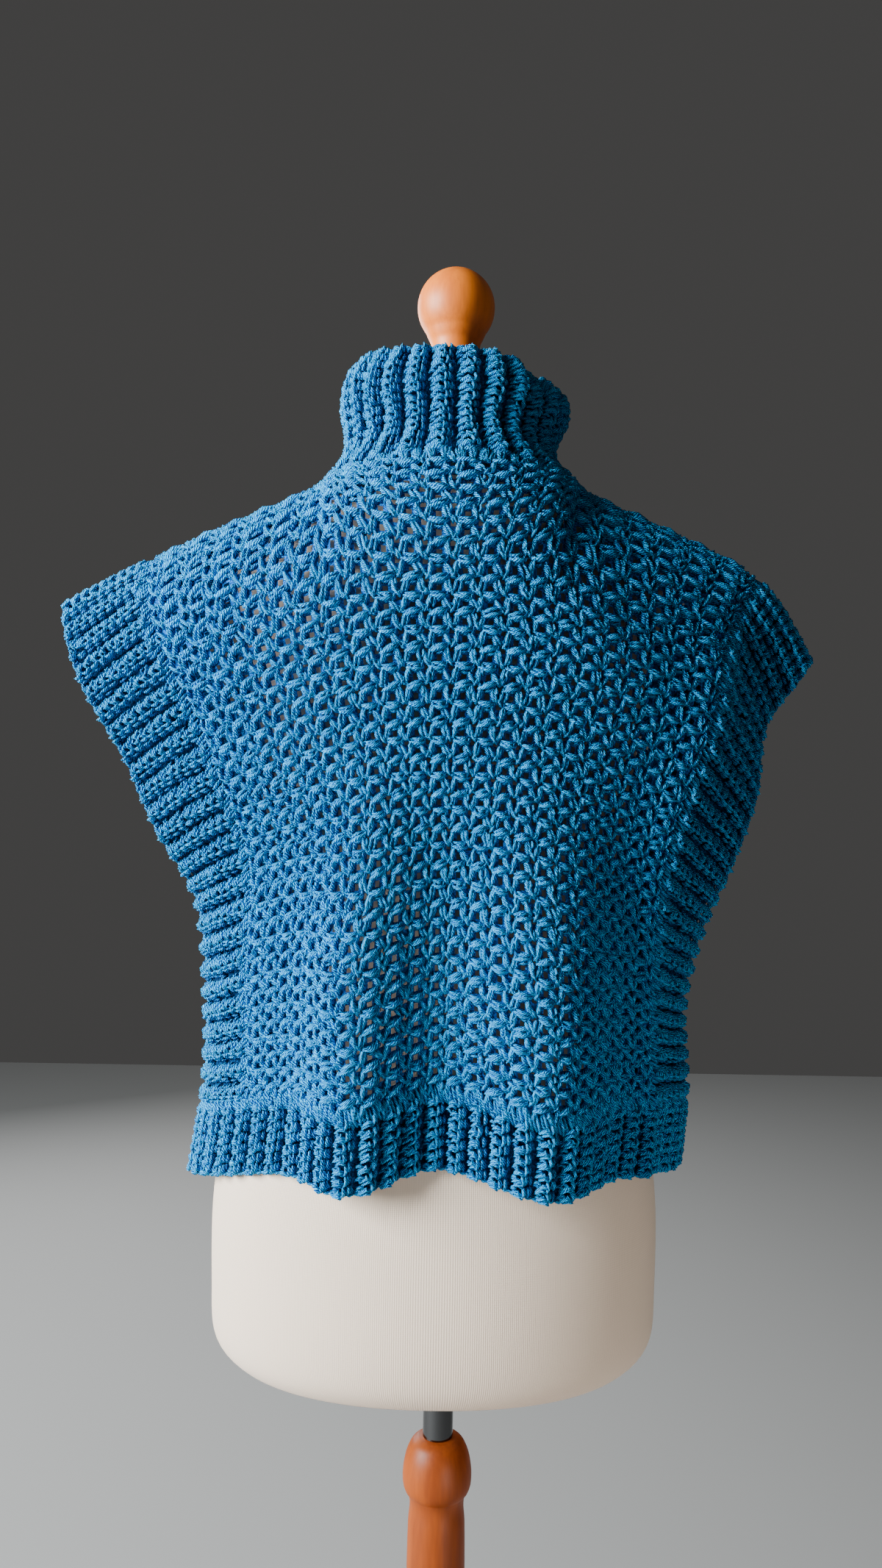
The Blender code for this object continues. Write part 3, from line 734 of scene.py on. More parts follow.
    def round_shoulders(self, flat: dict[Side, np.ndarray]) -> None:
        """Rolls the cloth softly over the shoulder line, where back and front meet.

        Args:
            flat: the two sides' grids, changed in place.
        """
        back, front = flat[Side.BACK], flat[Side.FRONT]
        joined = np.concatenate((back[::-1], front[1:]), axis=0)
        seam = len(self.v) - 1
        step = self.v[1]
        reach = int(self.shoulder_reach * self.shoulder_roll / step)
        weights = np.exp(-0.5 * (np.arange(-reach, reach + 1) * step / self.shoulder_roll) ** 2)
        weights /= weights.sum()
        smooth = joined.copy()
        span = self.shoulder_span * reach
        for index in range(seam - span, seam + span + 1):
            smooth[index] = np.tensordot(weights, joined[index - reach:index + reach + 1], axes=1)
        place = np.abs(np.arange(len(joined)) - seam) / span
        beyond = ease(np.abs(self.q), NECK_Q, NECK_Q + self.shoulder_blend)
        near = 1.0 - ease(place, self.shoulder_fade, 1.0)
        share = near[:, None, None] * beyond[None, :, None]
        joined = joined * (1.0 - share) + smooth * share
        back[:] = joined[:seam + 1][::-1]
        front[1:] = joined[seam + 1:]
        sewn = np.abs(self.q) >= NECK_Q
        front[0][sewn] = back[0][sewn]

    def folded(self, grid: np.ndarray, side: Side) -> np.ndarray:
        """Adds a side's folds to its grid.

        Args:
            grid: the side's points.
            side: back or front.

        Returns:
            The new grid.
        """
        normals = self.facing(grid, side)
        moved = grid.copy()
        for fold in FOLDS[side]:
            across = np.exp(-((self.q - fold.q) / fold.width) ** 2)[None, :]
            growth = ease(self.v, fold.start, fold.full)[:, None]
            moved += normals * (fold.height * across * growth)[:, :, None]
            moved[:, :, 2] -= fold.sag * across * growth
        return moved

    def facing(self, grid: np.ndarray, side: Side) -> np.ndarray:
        """Works out which way a grid faces.

        Args:
            grid: the side's points.
            side: back or front.

        Returns:
            Outward normals.
        """
        down = np.gradient(grid, axis=0)
        across = np.gradient(grid, axis=1)
        return unit(np.cross(across, down) * side.value)

    def at(self, side: Side, v: np.ndarray, q: np.ndarray) -> Placed:
        """Reads the surface.

        Args:
            side: back or front.
            v: places down it.
            q: places across it.

        Returns:
            Points and outward normals.
        """
        row = np.asarray(v, float) / self.v[1]
        column = (np.asarray(q, float) + 2.0) * self.q_steps
        return (grid_read(self.points[side], row, column),
                unit(grid_read(self.normals[side], row, column)))

    def arc_q(self, side: Side, v: float, low: float, high: float, count: int) -> np.ndarray:
        """Places across a row that are even along the cloth.

        Args:
            side: back or front.
            v: the row.
            low: the first place.
            high: the last place.
            count: how many steps.

        Returns:
            count + 1 values of q.
        """
        q = np.linspace(low, high, self.arc_steps)
        along = travel(self.at(side, np.full(len(q), v), q)[0])
        return np.interp(np.linspace(0.0, along[-1], count + 1), along, q)


@dataclass
class CollarSurface:
    """The collar's middle surface, round the neck and up; it starts at the neck seam."""

    cloth: DrapedCloth
    crease_angle: float = math.radians(50.0)
    crease_width: float = math.radians(11.0)
    crease_depth: float = 0.006
    crease_heights: tuple[float, float] = (0.3, 0.8)
    turns: int = 360
    levels: int = 60

    def __post_init__(self) -> None:
        """Samples the rings and the crease."""
        angles = np.linspace(0.0, TURN, self.turns + 1)
        levels = np.linspace(0.0, len(COLLAR_RINGS) - 1, self.levels + 1)
        rings = [Ring(**read_table(COLLAR_RINGS, at)) for at in levels]
        grid = np.array([self.ring_points(ring, angles) for ring in rings])
        blend = (1.0 - ease(levels, 0.0, 1.0))[:, None, None]
        grid += (self.seam(angles) - grid[0])[None] * blend
        normals = self.facing(grid)
        crease = np.exp(-((angles - self.crease_angle) / self.crease_width) ** 2)
        deep = ease(levels / levels[-1], *self.crease_heights)[:, None] * crease
        self.points = grid - normals * (self.crease_depth * deep)[..., None]
        self.normals = self.facing(self.points)

    def ring_points(self, ring: Ring, angles: np.ndarray) -> np.ndarray:
        """Points of one ring.

        Args:
            ring: its sizes.
            angles: 0 at the back, growing towards the right.

        Returns:
            The points.
        """
        sine, cosine = np.sin(angles), np.cos(angles)
        x = np.where(sine > 0, ring.right, ring.left) * sine
        y = -np.where(cosine > 0, ring.back, ring.front) * cosine
        side_z = np.where(sine > 0, ring.z_right, ring.z_left)
        end_z = np.where(cosine > 0, ring.z_back, ring.z_front)
        return np.stack((x, y, BUST_Z + end_z + (side_z - end_z) * sine ** 2), axis=1)

    def seam(self, angles: np.ndarray) -> np.ndarray:
        """The neck seam, read from the two panels' top rows.

        Args:
            angles: places round the neck.

        Returns:
            Points on the seam.
        """
        found = np.zeros((len(angles), 3))
        for side in Side:
            top = self.cloth.points[side][0]
            on_side = np.cos(angles) * -side.value >= 0.0
            sine = np.sin(angles[on_side])
            wanted = np.where(sine > 0, NECK_RIGHT, NECK_LEFT) * sine
            q = np.interp(wanted, top[:, 0], self.cloth.q)
            found[on_side] = self.cloth.at(side, q * 0.0, q)[0]
        return found

    def facing(self, grid: np.ndarray) -> np.ndarray:
        """Works out which way the grid faces; it closes round the neck.

        Args:
            grid: levels by turns by 3.

        Returns:
            Outward normals.
        """
        wrapped = np.concatenate((grid[:, -2:-1], grid, grid[:, 1:2]), axis=1)
        across = np.gradient(wrapped, axis=1)[:, 1:-1]
        up = np.gradient(grid, axis=0)
        return unit(np.cross(across, up))

    def at(self, turn: np.ndarray, height: np.ndarray) -> Placed:
        """Reads the surface.

        Args:
            turn: places round the neck, in turns from 0 to 1.
            height: shares of the collar's height.

        Returns:
            Points and outward normals.
        """
        column = np.mod(np.asarray(turn, float), 1.0) * self.turns
        row = np.asarray(height, float) * self.levels
        return grid_read(self.points, row, column), unit(grid_read(self.normals, row, column))


# ---------------------------------------------------------------- yarn


@dataclass(frozen=True)
class Strand:
    """A short run of yarn within a stitch.

    Its points are places across and up the stitch, in stitch pitches, and heights over the
    cloth in millimetres.
    """

    points: tuple[Triple, ...]
    radius: float = 1.6
    # The tone darkens low strands as painted shade and lightens high ones as a painted highlight, on
    # top of random tone.
    tone: float = 0.0

    def bend(self, shares: np.ndarray) -> np.ndarray:
        """Bends the yarn smoothly through its points.

        Args:
            shares: where along the strand to read it.

        Returns:
            Places across and up the stitch, and heights.
        """
        table = np.array(self.points)
        at = shares * (len(table) - 1)
        index = np.arange(len(table))
        return np.stack([through(index, table[:, axis], at) for axis in range(3)], axis=1)


class YarnWork:
    """Collects strands on a surface and makes one mesh of them.

    Each strand is a spindle with SIDES sides, whose rings lie at SHARES of its length and are
    SWELL of its radius thick.
    """

    SIDES = 3
    SHARES = np.array([0.0, 0.13, 0.50, 0.87, 1.0])
    SWELL = np.array([0.0, 0.95, 1.15, 0.95, 0.0])
    UNEVEN_LIFT = 0.22
    UNEVEN_RADIUS = 0.08
    UNEVEN_TONE = 0.07
    UNEVEN_START = 20.0
    RIB_START = 0.15
    EDGE_JITTER = 0.02

    def __init__(self, seed: int) -> None:
        """Starts empty.

        Args:
            seed: of the small unevenness between stitches.
        """
        self.random = np.random.default_rng(seed)
        self.paths: list[np.ndarray] = []
        self.normals: list[np.ndarray] = []
        self.radii: list[np.ndarray] = []
        self.shades_and_tones: list[np.ndarray] = []

    def lay(self, strands: tuple[Strand, ...], across: np.ndarray, up: np.ndarray, place: Place,
            pitch: tuple[float, float], jitter: float = 0.045) -> None:
        """Lays strands, one after another, in many stitches.

        Args:
            strands: the runs of yarn in a stitch.
            across: the stitches' centres, in the surface's own measure.
            up: the stitches' lower ends.
            place: reads the surface at those measures.
            pitch: the size of a stitch in those measures, with its direction as sign.
            jitter: unevenness, in stitch pitches.
        """
        count = len(across)
        for strand in strands:
            path = strand.bend(self.SHARES)
            nudge = self.random.normal(0.0, jitter, (count, 2, 1))
            first = across[:, None] + (path[None, :, 0] + nudge[:, 0]) * pitch[0]
            second = up[:, None] + (path[None, :, 1] + nudge[:, 1]) * pitch[1]
            points, normals = place(first, second)
            lift = path[None, :, 2] + self.random.normal(0.0, self.UNEVEN_LIFT, (count, 1))
            swell = self.random.uniform(1.0 - self.UNEVEN_RADIUS, 1.0 + self.UNEVEN_RADIUS, count)
            self.paths.append(points + normals * (lift * MM)[..., None])
            self.normals.append(normals)
            self.radii.append(strand.radius * MM * swell)
            self.shades_and_tones.append(strand.tone + self.random.normal(0.0, self.UNEVEN_TONE, count))

    def ribs(self, place: Place, ribs: int, stitches: int, way: float = 1.0) -> None:
        """Lays ribs one after another along a piece.

        Args:
            place: reads the piece at shares along it and along its ribs.
            ribs: how many ribs.
            stitches: how many stitches each rib has.
            way: 1, or -1 where the ribs follow one another backwards.
        """
        rib, stitch = np.meshgrid(np.arange(ribs), np.arange(stitches))
        pitch, height = 1.0 / ribs, 1.0 / stitches
        self.lay(RIB_STITCH, way * (rib.ravel() + 0.5) * pitch,
                 (stitch.ravel() + self.RIB_START) * height, place, (way * pitch, height))

    def edge(self, place: Place, loops: int, at: float, reach: float, way: float = 1.0) -> None:
        """Lays a row of loops, and the yarn that fills it, along an open edge.

        Args:
            place: reads the piece at shares towards the edge and along it.
            loops: how many loops.
            at: where the row lies.
            reach: the loops' size towards the edge, with its direction as sign.
            way: 1, or -1 where the loops follow one another backwards.
        """
        self.lay((EDGE_LOOP, EDGE_FILL), np.full(loops, at), way * np.arange(loops) / loops,
                 place, (reach, way / loops), self.EDGE_JITTER)

    def seam(self, place: Place, stitches: int, at: float, reach: float) -> None:
        """Lays a row of stitches over a seam.

        Args:
            place: reads both pieces at places over the seam and shares along it.
            stitches: how many stitches.
            at: where the seam lies.
            reach: a stitch's size over the seam, with its direction as sign.
        """
        self.lay(SEAM_STITCH, np.full(stitches, at), np.arange(stitches) / stitches, place,
                 (reach, 1.0 / stitches))

    def skin(self) -> np.ndarray:
        """Vertices of every strand: a pole, its rings and the other pole.

        Returns:
            Strands by vertices by 3.
        """
        path, normal = np.concatenate(self.paths), np.concatenate(self.normals)
        radius = np.concatenate(self.radii)
        along = unit(np.gradient(path, axis=1))
        beside = unit(np.cross(along, normal))
        above = np.cross(beside, along)
        turn = np.arange(self.SIDES) * TURN / self.SIDES
        spoke = (above[:, 1:-1, None] * np.cos(turn)[:, None]
                 + beside[:, 1:-1, None] * np.sin(turn)[:, None])
        size = (radius[:, None] * self.SWELL[1:-1])[:, :, None, None]
        rings = (path[:, 1:-1, None] + spoke * size).reshape(len(path), -1, 3)
        return np.concatenate((path[:, :1], rings, path[:, -1:]), axis=1)

    def mesh(self, name: str) -> bpy.types.Mesh:
        """Makes the mesh of all strands.

        Args:
            name: the mesh's name.

        Returns:
            The mesh, with a UV map in millimetres along and turns round, and a tone for each strand,
            which holds painted shade and painted highlight as well as random tone.
        """
        skin = self.skin()
        count, per = skin.shape[:2]
        corners, totals, levels, turns = self.spindle()
        loops = (corners[None] + np.arange(count)[:, None] * per).ravel()
        length = travel(np.concatenate(self.paths)) / MM
        offset = self.random.uniform(0.0, self.UNEVEN_START, (count, 1))
        uv = np.stack((length[:, levels] + offset, np.broadcast_to(turns, (count, len(turns)))),
                      axis=2)
        sizes = np.tile(totals, count)
        starts = np.concatenate(([0], np.cumsum(sizes)[:-1]))
        mesh = bpy.data.meshes.new(name)
        mesh.vertices.add(count * per)
        mesh.vertices.foreach_set("co", skin.astype(np.float32).ravel())
        mesh.loops.add(len(loops))
        mesh.loops.foreach_set("vertex_index", loops.astype(np.int32))
        mesh.polygons.add(len(sizes))
        mesh.polygons.foreach_set("loop_start", starts.astype(np.int32))
        mesh.polygons.foreach_set("loop_total", sizes.astype(np.int32))
        mesh.uv_layers.new(name="strand").data.foreach_set("uv", uv.astype(np.float32).ravel())
        tone = np.repeat(np.concatenate(self.shades_and_tones), per).astype(np.float32)
        mesh.attributes.new("tone", "FLOAT", "POINT").data.foreach_set("value", tone)
        mesh.update(calc_edges=True)
        mesh.shade_smooth()
        return mesh

    def spindle(self) -> tuple[np.ndarray, np.ndarray, np.ndarray, np.ndarray]:
        """Faces of one strand.

        Returns:
            Vertex of each face corner, corners of each face, and each corner's level and turn.
        """
        sides, rings = self.SIDES, len(self.SHARES) - 2
        tip = 1 + rings * sides
        faces: list[list[tuple[int, int, float]]] = []
        for j in range(sides):
            here, middle, there = j / sides, (j + 0.5) / sides, (j + 1) / sides
            near = [1 + i * sides + j for i in range(rings)]
            far = [1 + i * sides + (j + 1) % sides for i in range(rings)]
            faces.append([(0, 0, middle), (far[0], 1, there), (near[0], 1, here)])
            faces += [[(near[i], i + 1, here), (far[i], i + 1, there),
                       (far[i + 1], i + 2, there), (near[i + 1], i + 2, here)]
                      for i in range(rings - 1)]
            faces.append([(near[-1], rings, here), (far[-1], rings, there),
                          (tip, rings + 1, middle)])
        corners, levels, turns = (np.array(column) for column in zip(*sum(faces, [])))
        return corners, np.array([len(face) for face in faces]), levels, turns


# Stitches. A strand's points are across and up in pitches, and heights in millimetres. Its last
# number is its tone: strands that lie low get a darker tone, painted shade, and thin strands on top
# a lighter one, a painted highlight.
V_LEGS = (
    Strand(((-0.02, -0.12, 1.0), (-0.09, 0.14, 3.1), (-0.18, 0.44, 3.2), (-0.24, 0.80, 1.6)),
           2.10, 0.10),
    Strand(((-0.12, -0.04, 0.4), (-0.20, 0.20, 2.6), (-0.28, 0.50, 2.8), (-0.29, 0.90, 0.8)),
           2.00, -0.02),
    Strand(((-0.32, 0.46, 0.6), (-0.28, 0.70, 2.1), (-0.20, 0.92, 2.1), (-0.10, 1.10, 0.6)),
           2.00, -0.10),
    Strand(((0.02, -0.12, 1.0), (0.09, 0.14, 3.2), (0.17, 0.44, 3.1), (0.22, 0.80, 1.6)),
           2.10, 0.06),
    Strand(((0.12, -0.04, 0.4), (0.20, 0.20, 2.6), (0.27, 0.50, 2.8), (0.28, 0.90, 0.8)),
           2.00, -0.04),
    Strand(((0.31, 0.46, 0.6), (0.27, 0.70, 2.1), (0.20, 0.92, 2.1), (0.10, 1.10, 0.6)),
           2.00, -0.12),
    Strand(((-0.18, 0.12, 0.4), (-0.06, -0.02, 2.8), (0.06, 0.00, 2.8), (0.16, 0.14, 0.4)),
           1.50, 0.00),
    Strand(((-0.02, 0.34, 0.6), (0.00, 0.14, 3.0), (0.02, -0.06, 3.2), (0.06, -0.22, 0.8)),
           1.50, 0.06),
    Strand(((-0.24, 0.28, 2.4), (-0.14, 0.34, 4.6), (-0.12, 0.54, 4.8), (-0.18, 0.72, 2.8)),
           1.20, 0.14),
)
V_TOPS = (
    Strand(((0.08, 0.58, 1.6), (0.34, 0.66, 4.4), (0.62, 0.82, 4.4), (0.92, 0.92, 1.6)),
           2.20, 0.08),
    Strand(((0.12, 0.78, 1.0), (0.36, 0.88, 3.2), (0.62, 0.98, 3.2), (0.86, 1.06, 0.8)),
           2.20, 0.00),
    Strand(((0.24, 0.50, 0.4), (0.42, 0.54, 2.2), (0.58, 0.62, 2.2), (0.74, 0.66, 0.4)),
           1.60, -0.08),
    Strand(((0.24, 0.74, 2.2), (0.36, 0.80, 4.3), (0.50, 0.84, 4.4), (0.64, 0.92, 2.6)),
           1.25, 0.14),
    Strand(((-0.20, 0.34, 1.0), (-0.08, 0.12, 3.5), (0.02, -0.06, 3.6), (0.12, -0.24, 1.0)),
           1.50, 0.08),
    Strand(((0.36, 1.02, 0.4), (0.44, 0.86, 2.8), (0.50, 0.72, 3.2), (0.58, 0.54, 0.8)),
           1.30, 0.08),
)
V_LEGS_BARRED = (
    Strand(((0.02, -0.12, 1.0), (-0.08, 0.12, 3.1), (-0.20, 0.38, 3.2), (-0.32, 0.66, 1.4)),
           2.10, 0.08),
    Strand(((-0.10, -0.06, 0.4), (-0.20, 0.14, 2.6), (-0.31, 0.36, 2.8), (-0.38, 0.60, 0.8)),
           2.00, -0.04),
    Strand(((-0.30, 0.46, 0.6), (-0.26, 0.70, 2.1), (-0.20, 0.92, 2.1), (-0.12, 1.12, 0.6)),
           2.00, -0.10),
    Strand(((0.06, -0.14, 1.0), (0.10, 0.16, 3.1), (0.14, 0.48, 3.2), (0.21, 0.84, 1.6)),
           2.10, 0.10),
    Strand(((0.16, -0.06, 0.4), (0.20, 0.20, 2.6), (0.24, 0.54, 2.8), (0.29, 0.90, 0.8)),
           2.00, -0.02),
    Strand(((0.33, 0.44, 0.6), (0.29, 0.68, 2.1), (0.22, 0.90, 2.1), (0.12, 1.10, 0.6)),
           2.00, -0.12),
    Strand(((-0.20, 0.18, 0.4), (-0.08, 0.22, 2.8), (0.06, 0.12, 3.0), (0.16, -0.04, 0.4)),
           1.50, -0.02),
    Strand(((-0.06, 0.06, 0.6), (0.00, -0.04, 2.6), (0.06, -0.12, 2.6), (0.16, -0.16, 0.6)),
           1.45, 0.02),
    Strand(((0.24, 0.30, 2.4), (0.16, 0.42, 4.6), (0.18, 0.62, 4.6), (0.26, 0.76, 2.4)),
           1.20, 0.14),
)
V_TOPS_BARRED = (
    Strand(((0.10, 0.84, 1.6), (0.34, 0.70, 4.4), (0.62, 0.68, 4.4), (0.92, 0.84, 1.6)),
           2.20, 0.06),
    Strand(((0.14, 1.02, 1.0), (0.36, 0.92, 3.2), (0.62, 0.90, 3.2), (0.86, 1.02, 0.8)),
           2.20, 0.00),
    Strand(((0.26, 0.62, 0.4), (0.44, 0.54, 2.2), (0.58, 0.54, 2.2), (0.74, 0.64, 0.4)),
           1.60, -0.08),
    Strand(((0.38, 0.90, 2.2), (0.50, 0.82, 4.3), (0.62, 0.80, 4.4), (0.76, 0.86, 2.6)),
           1.25, 0.14),
    Strand(((0.20, 0.36, 1.0), (0.10, 0.12, 3.5), (0.02, -0.06, 3.6), (-0.08, -0.24, 1.0)),
           1.50, 0.08),
    Strand(((0.60, 1.04, 0.4), (0.56, 0.88, 2.8), (0.48, 0.74, 3.2), (0.42, 0.56, 0.8)),
           1.30, 0.06),
)
RIB_STITCH = (
    Strand(((-0.38, -0.14, 0.6), (-0.22, 0.20, 4.8), (-0.01, 0.36, 6.0), (0.10, -0.02, 4.8)),
           1.80, 0.08),
    Strand(((-0.32, -0.36, 1.0), (-0.14, -0.02, 5.0), (0.03, 0.10, 6.0), (0.12, -0.28, 4.8)),
           1.75, 0.04),
    Strand(((0.05, -0.14, 4.4), (0.15, 0.20, 5.8), (0.17, 0.56, 5.6), (0.08, 0.94, 4.4)),
           1.65, 0.10),
    Strand(((0.22, 0.02, 2.4), (0.27, 0.34, 4.0), (0.27, 0.66, 4.0), (0.22, 1.02, 2.4)),
           1.60, -0.04),
    Strand(((0.33, 0.06, 0.2), (0.35, 0.34, 1.8), (0.35, 0.66, 1.8), (0.32, 0.98, 0.2)),
           1.45, -0.22),
    Strand(((-0.46, 0.10, -1.2), (-0.38, 0.28, 1.0), (-0.28, 0.30, 3.0), (-0.16, 0.12, 4.0)),
           1.40, -0.14),
    Strand(((-0.41, 0.40, 0.2), (-0.34, 0.58, 2.6), (-0.24, 0.62, 3.8), (-0.12, 0.48, 4.4)),
           1.40, -0.06),
    Strand(((-0.06, 0.62, 4.4), (-0.10, 0.44, 5.8), (0.02, 0.22, 6.6), (0.10, 0.30, 5.0)),
           1.10, 0.12),
)
NECK_STITCH = (
    Strand(((0.0, -0.30, 1.2), (-0.16, 0.10, 4.0), (-0.28, 0.50, 4.0), (-0.26, 0.95, 2.0)),
           1.6, 0.04),
    Strand(((0.02, -0.40, 1.2), (-0.08, 0.10, 4.4), (-0.10, 0.55, 4.4), (-0.08, 1.0, 2.0)),
           1.6, 0.08),
    Strand(((0.02, -0.40, 1.2), (0.08, 0.10, 4.4), (0.10, 0.55, 4.4), (0.10, 1.0, 2.0)),
           1.6, 0.08),
    Strand(((0.04, -0.30, 1.2), (0.18, 0.10, 4.0), (0.28, 0.50, 4.0), (0.28, 0.95, 2.0)),
           1.6, 0.02),
)
SEAM_STITCH = (
    Strand(((-1.10, -0.30, 0.8), (-0.30, 0.00, 3.2), (0.50, 0.40, 3.2), (1.20, 0.50, 0.8)),
           1.70, 0.04),
    Strand(((-0.90, 0.40, 0.4), (-0.20, 0.50, 2.6), (0.50, 0.90, 2.6), (1.00, 1.20, 0.4)),
           1.60, -0.02),
)
EDGE_FILL = Strand(((-0.30, -0.20, -1.6), (0.02, 0.20, -0.2), (0.02, 0.80, -0.2),
                    (-0.30, 1.20, -1.6)), 1.50, -0.20)
EDGE_LOOP = Strand(((-0.12, -0.10, 0.6), (0.16, 0.20, 2.2), (0.16, 0.70, 2.2),
                    (-0.10, 1.08, 0.6)), 1.60, 0.02)


# ---------------------------------------------------------------- making objects

# How far the sheets of panels and of ribbed pieces lie behind the middle surface.
PANEL_DROP = 0.2 * MM
RIB_DROP = 2.0 * MM


def finish_object(name: str, mesh: bpy.types.Mesh, material: bpy.types.Material) -> bpy.types.Object:
    """Makes an object that rides on the part.

    Args:
        name: the piece's name.
        mesh: its mesh, in place.
        material: its finish.

    Returns:
        The object.
    """
    thing = bpy.data.objects.new(name, mesh)
    mesh.materials.append(material)
    bpy.context.scene.collection.objects.link(thing)
    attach(thing, BODY)
    return thing


def swapped(place: Place) -> Place:
    """The same surface, read with its two measures the other way round."""
    return lambda first, second: place(second, first)


def cloth_grid(name: str, columns: int, rows: int, place: Place, size: tuple[float, float],
               open_at: Callable[[np.ndarray, np.ndarray], np.ndarray] | None = None,
               drop: float = 0.0) -> bpy.types.Mesh:
    """Makes a thin sheet of cloth behind the stitches.

    Args:
        name: the mesh's name.
        columns: its faces across.
        rows: its faces up.
        place: gives points and normals at shares across and up.
        size: the sheet's flat size, for its UV map in the same unit.
        open_at: tells which faces, by their middles' shares, are holes.
        drop: how far it lies behind the middle surface.

    Returns:
        The mesh.
    """
    grid = bmesh.new()
    bmesh.ops.create_grid(grid, x_segments=columns, y_segments=rows, size=0.5)
    shares = np.array([vertex.co[:2] for vertex in grid.verts]) + 0.5
    if open_at is not None:
        middles = np.array([face.calc_center_median()[:2] for face in grid.faces]) + 0.5
        gone = open_at(middles[:, 0], middles[:, 1])
        holes = [face for face, hole in zip(list(grid.faces), gone) if hole]
    uv = grid.loops.layers.uv.new("cloth")
    for face in grid.faces:
        for loop in face.loops:
            loop[uv].uv = ((loop.vert.co.x + 0.5) * size[0], (loop.vert.co.y + 0.5) * size[1])
    points, normals = place(shares[:, 0], shares[:, 1])
    for vertex, point in zip(grid.verts, points - normals * drop):
        vertex.co = point
    if open_at is not None:
        bmesh.ops.delete(grid, geom=holes, context="FACES")
    mesh = bpy.data.meshes.new(name)
    grid.to_mesh(mesh)
    grid.free()
    mesh.shade_smooth()
    return mesh


@dataclass
class Yarns:
    """The garment's yarn finishes: in stitches, behind a panel's stitches and between ribs; the last
    two are darker, with painted shade.
    """

    stitch: bpy.types.Material
    behind: bpy.types.Material
    shaded_valley: bpy.types.Material


@dataclass
class Panel:
    """V-stitch body panel of one side."""

    cloth: DrapedCloth
    side: Side
    yarns: Yarns
    columns: int = 23
    rows: int = 37
    flat: tuple[float, float] = (0.47, 0.45)
    hole_width: float = 0.20
    hole_rows: tuple[float, float] = (0.10, 0.42)
    closed: tuple[float, float] = (0.03, 0.02)
    seed: int = 11

    def place(self, q: np.ndarray, v: np.ndarray) -> Placed:
        """Reads the panel's surface, kept inside its edges."""
        return self.cloth.at(self.side, np.clip(v, 0.0, 1.0), np.clip(q, -1.0, 1.0))

    def build(self) -> None:
        """Makes the sheet and its stitches, lower and upper half."""
        name = f"{self.side.name.lower()}_panel"
        # The sheet behind the stitches carries painted shade between them.
        sheet = cloth_grid(f"{name}_sheet", self.columns * 4, self.rows * 4, self.uneven,
                           self.flat, self.holes, drop=PANEL_DROP)
        piece = finish_object(f"{name}_sheet", sheet, self.yarns.behind)
        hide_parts(name)
        half = self.rows // 2
        parts = [self.stitches(f"{name}_lower_stitches", range(0, half), self.seed),
                 self.stitches(f"{name}_upper_stitches", range(half, self.rows), self.seed + 1)]

    def uneven(self, across: np.ndarray, up: np.ndarray) -> Placed:
        """Places the sheet's even grid so that some of its lines run along the holes' sides.

        Args:
            across: shares of the panel's width, four steps to a column.
            up: shares of its height, four steps to a row.

        Returns:
            Points and outward normals.
        """
        half = self.hole_width / 2.0
        low, high = self.hole_rows
        column = across * self.columns
        row = up * self.rows
        steps = (0.0, 0.25, 0.5, 0.75, 1.0)
        part = np.interp(column % 1.0, steps, (-half, half, 0.5 - half, 0.5 + half, 1.0 - half))
        level = np.interp(row % 1.0, steps, (low, high, 0.5 + low, 0.5 + high, 1.0 + low))
        x = (np.floor(column) + part) / self.columns
        y = (np.floor(row) + level) / self.rows
        x = np.where(across > 1.0 - 1e-6, 1.0, x)
        y = np.where(up > 1.0 - 1e-6, 1.0, np.where(up < 1e-6, 0.0, y))
        return self.place(2.0 * x - 1.0, 1.0 - y)

    def holes(self, across: np.ndarray, up: np.ndarray) -> np.ndarray:
        """Tells where the sheet is open: in each V's mouth and between two V feet.

        Args:
            across: shares of the panel's width.
            up: shares of its height.

        Returns:
            True where a face is left out.
        """
        column = np.floor(across * self.columns * 4.0 + 1e-6) % 4
        row = np.floor(up * self.rows * 4.0 + 1e-6) % 4
        side, end = self.closed
        inside = (across > side) & (across < 1.0 - side) & (up > end) & (up < 1.0 - end)
        return (((column == 2) & (row == 2)) | ((column == 0) & (row == 0))) & inside

    def stitches(self, name: str, rows: range, seed: int) -> bpy.types.Object:
        """Crochets some of the rows.

        Args:
            name: the piece's name.
            rows: the courses, counted from the hem.
            seed: of their unevenness.

        Returns:
            The piece.
        """
        work = YarnWork(seed + self.side.value)
        width = 2.0 / self.columns
        height = 1.0 / self.rows
        kinds = ((V_LEGS, V_TOPS), (V_LEGS_BARRED, V_TOPS_BARRED))
        for parity, (legs, tops) in enumerate(kinds):
            own = [row for row in rows if row % 2 == parity]
            column, row = np.meshgrid(np.arange(self.columns), own)
            across = -1.0 + (column.ravel() + 0.5) * width
            up = 1.0 - row.ravel() * height
            inner = column.ravel() < self.columns - 1
            work.lay(legs, across, up, self.place, (width, -height))
            work.lay(tops, across[inner], up[inner], self.place, (width, -height))
        return finish_object(name, work.mesh(name), self.yarns.stitch)


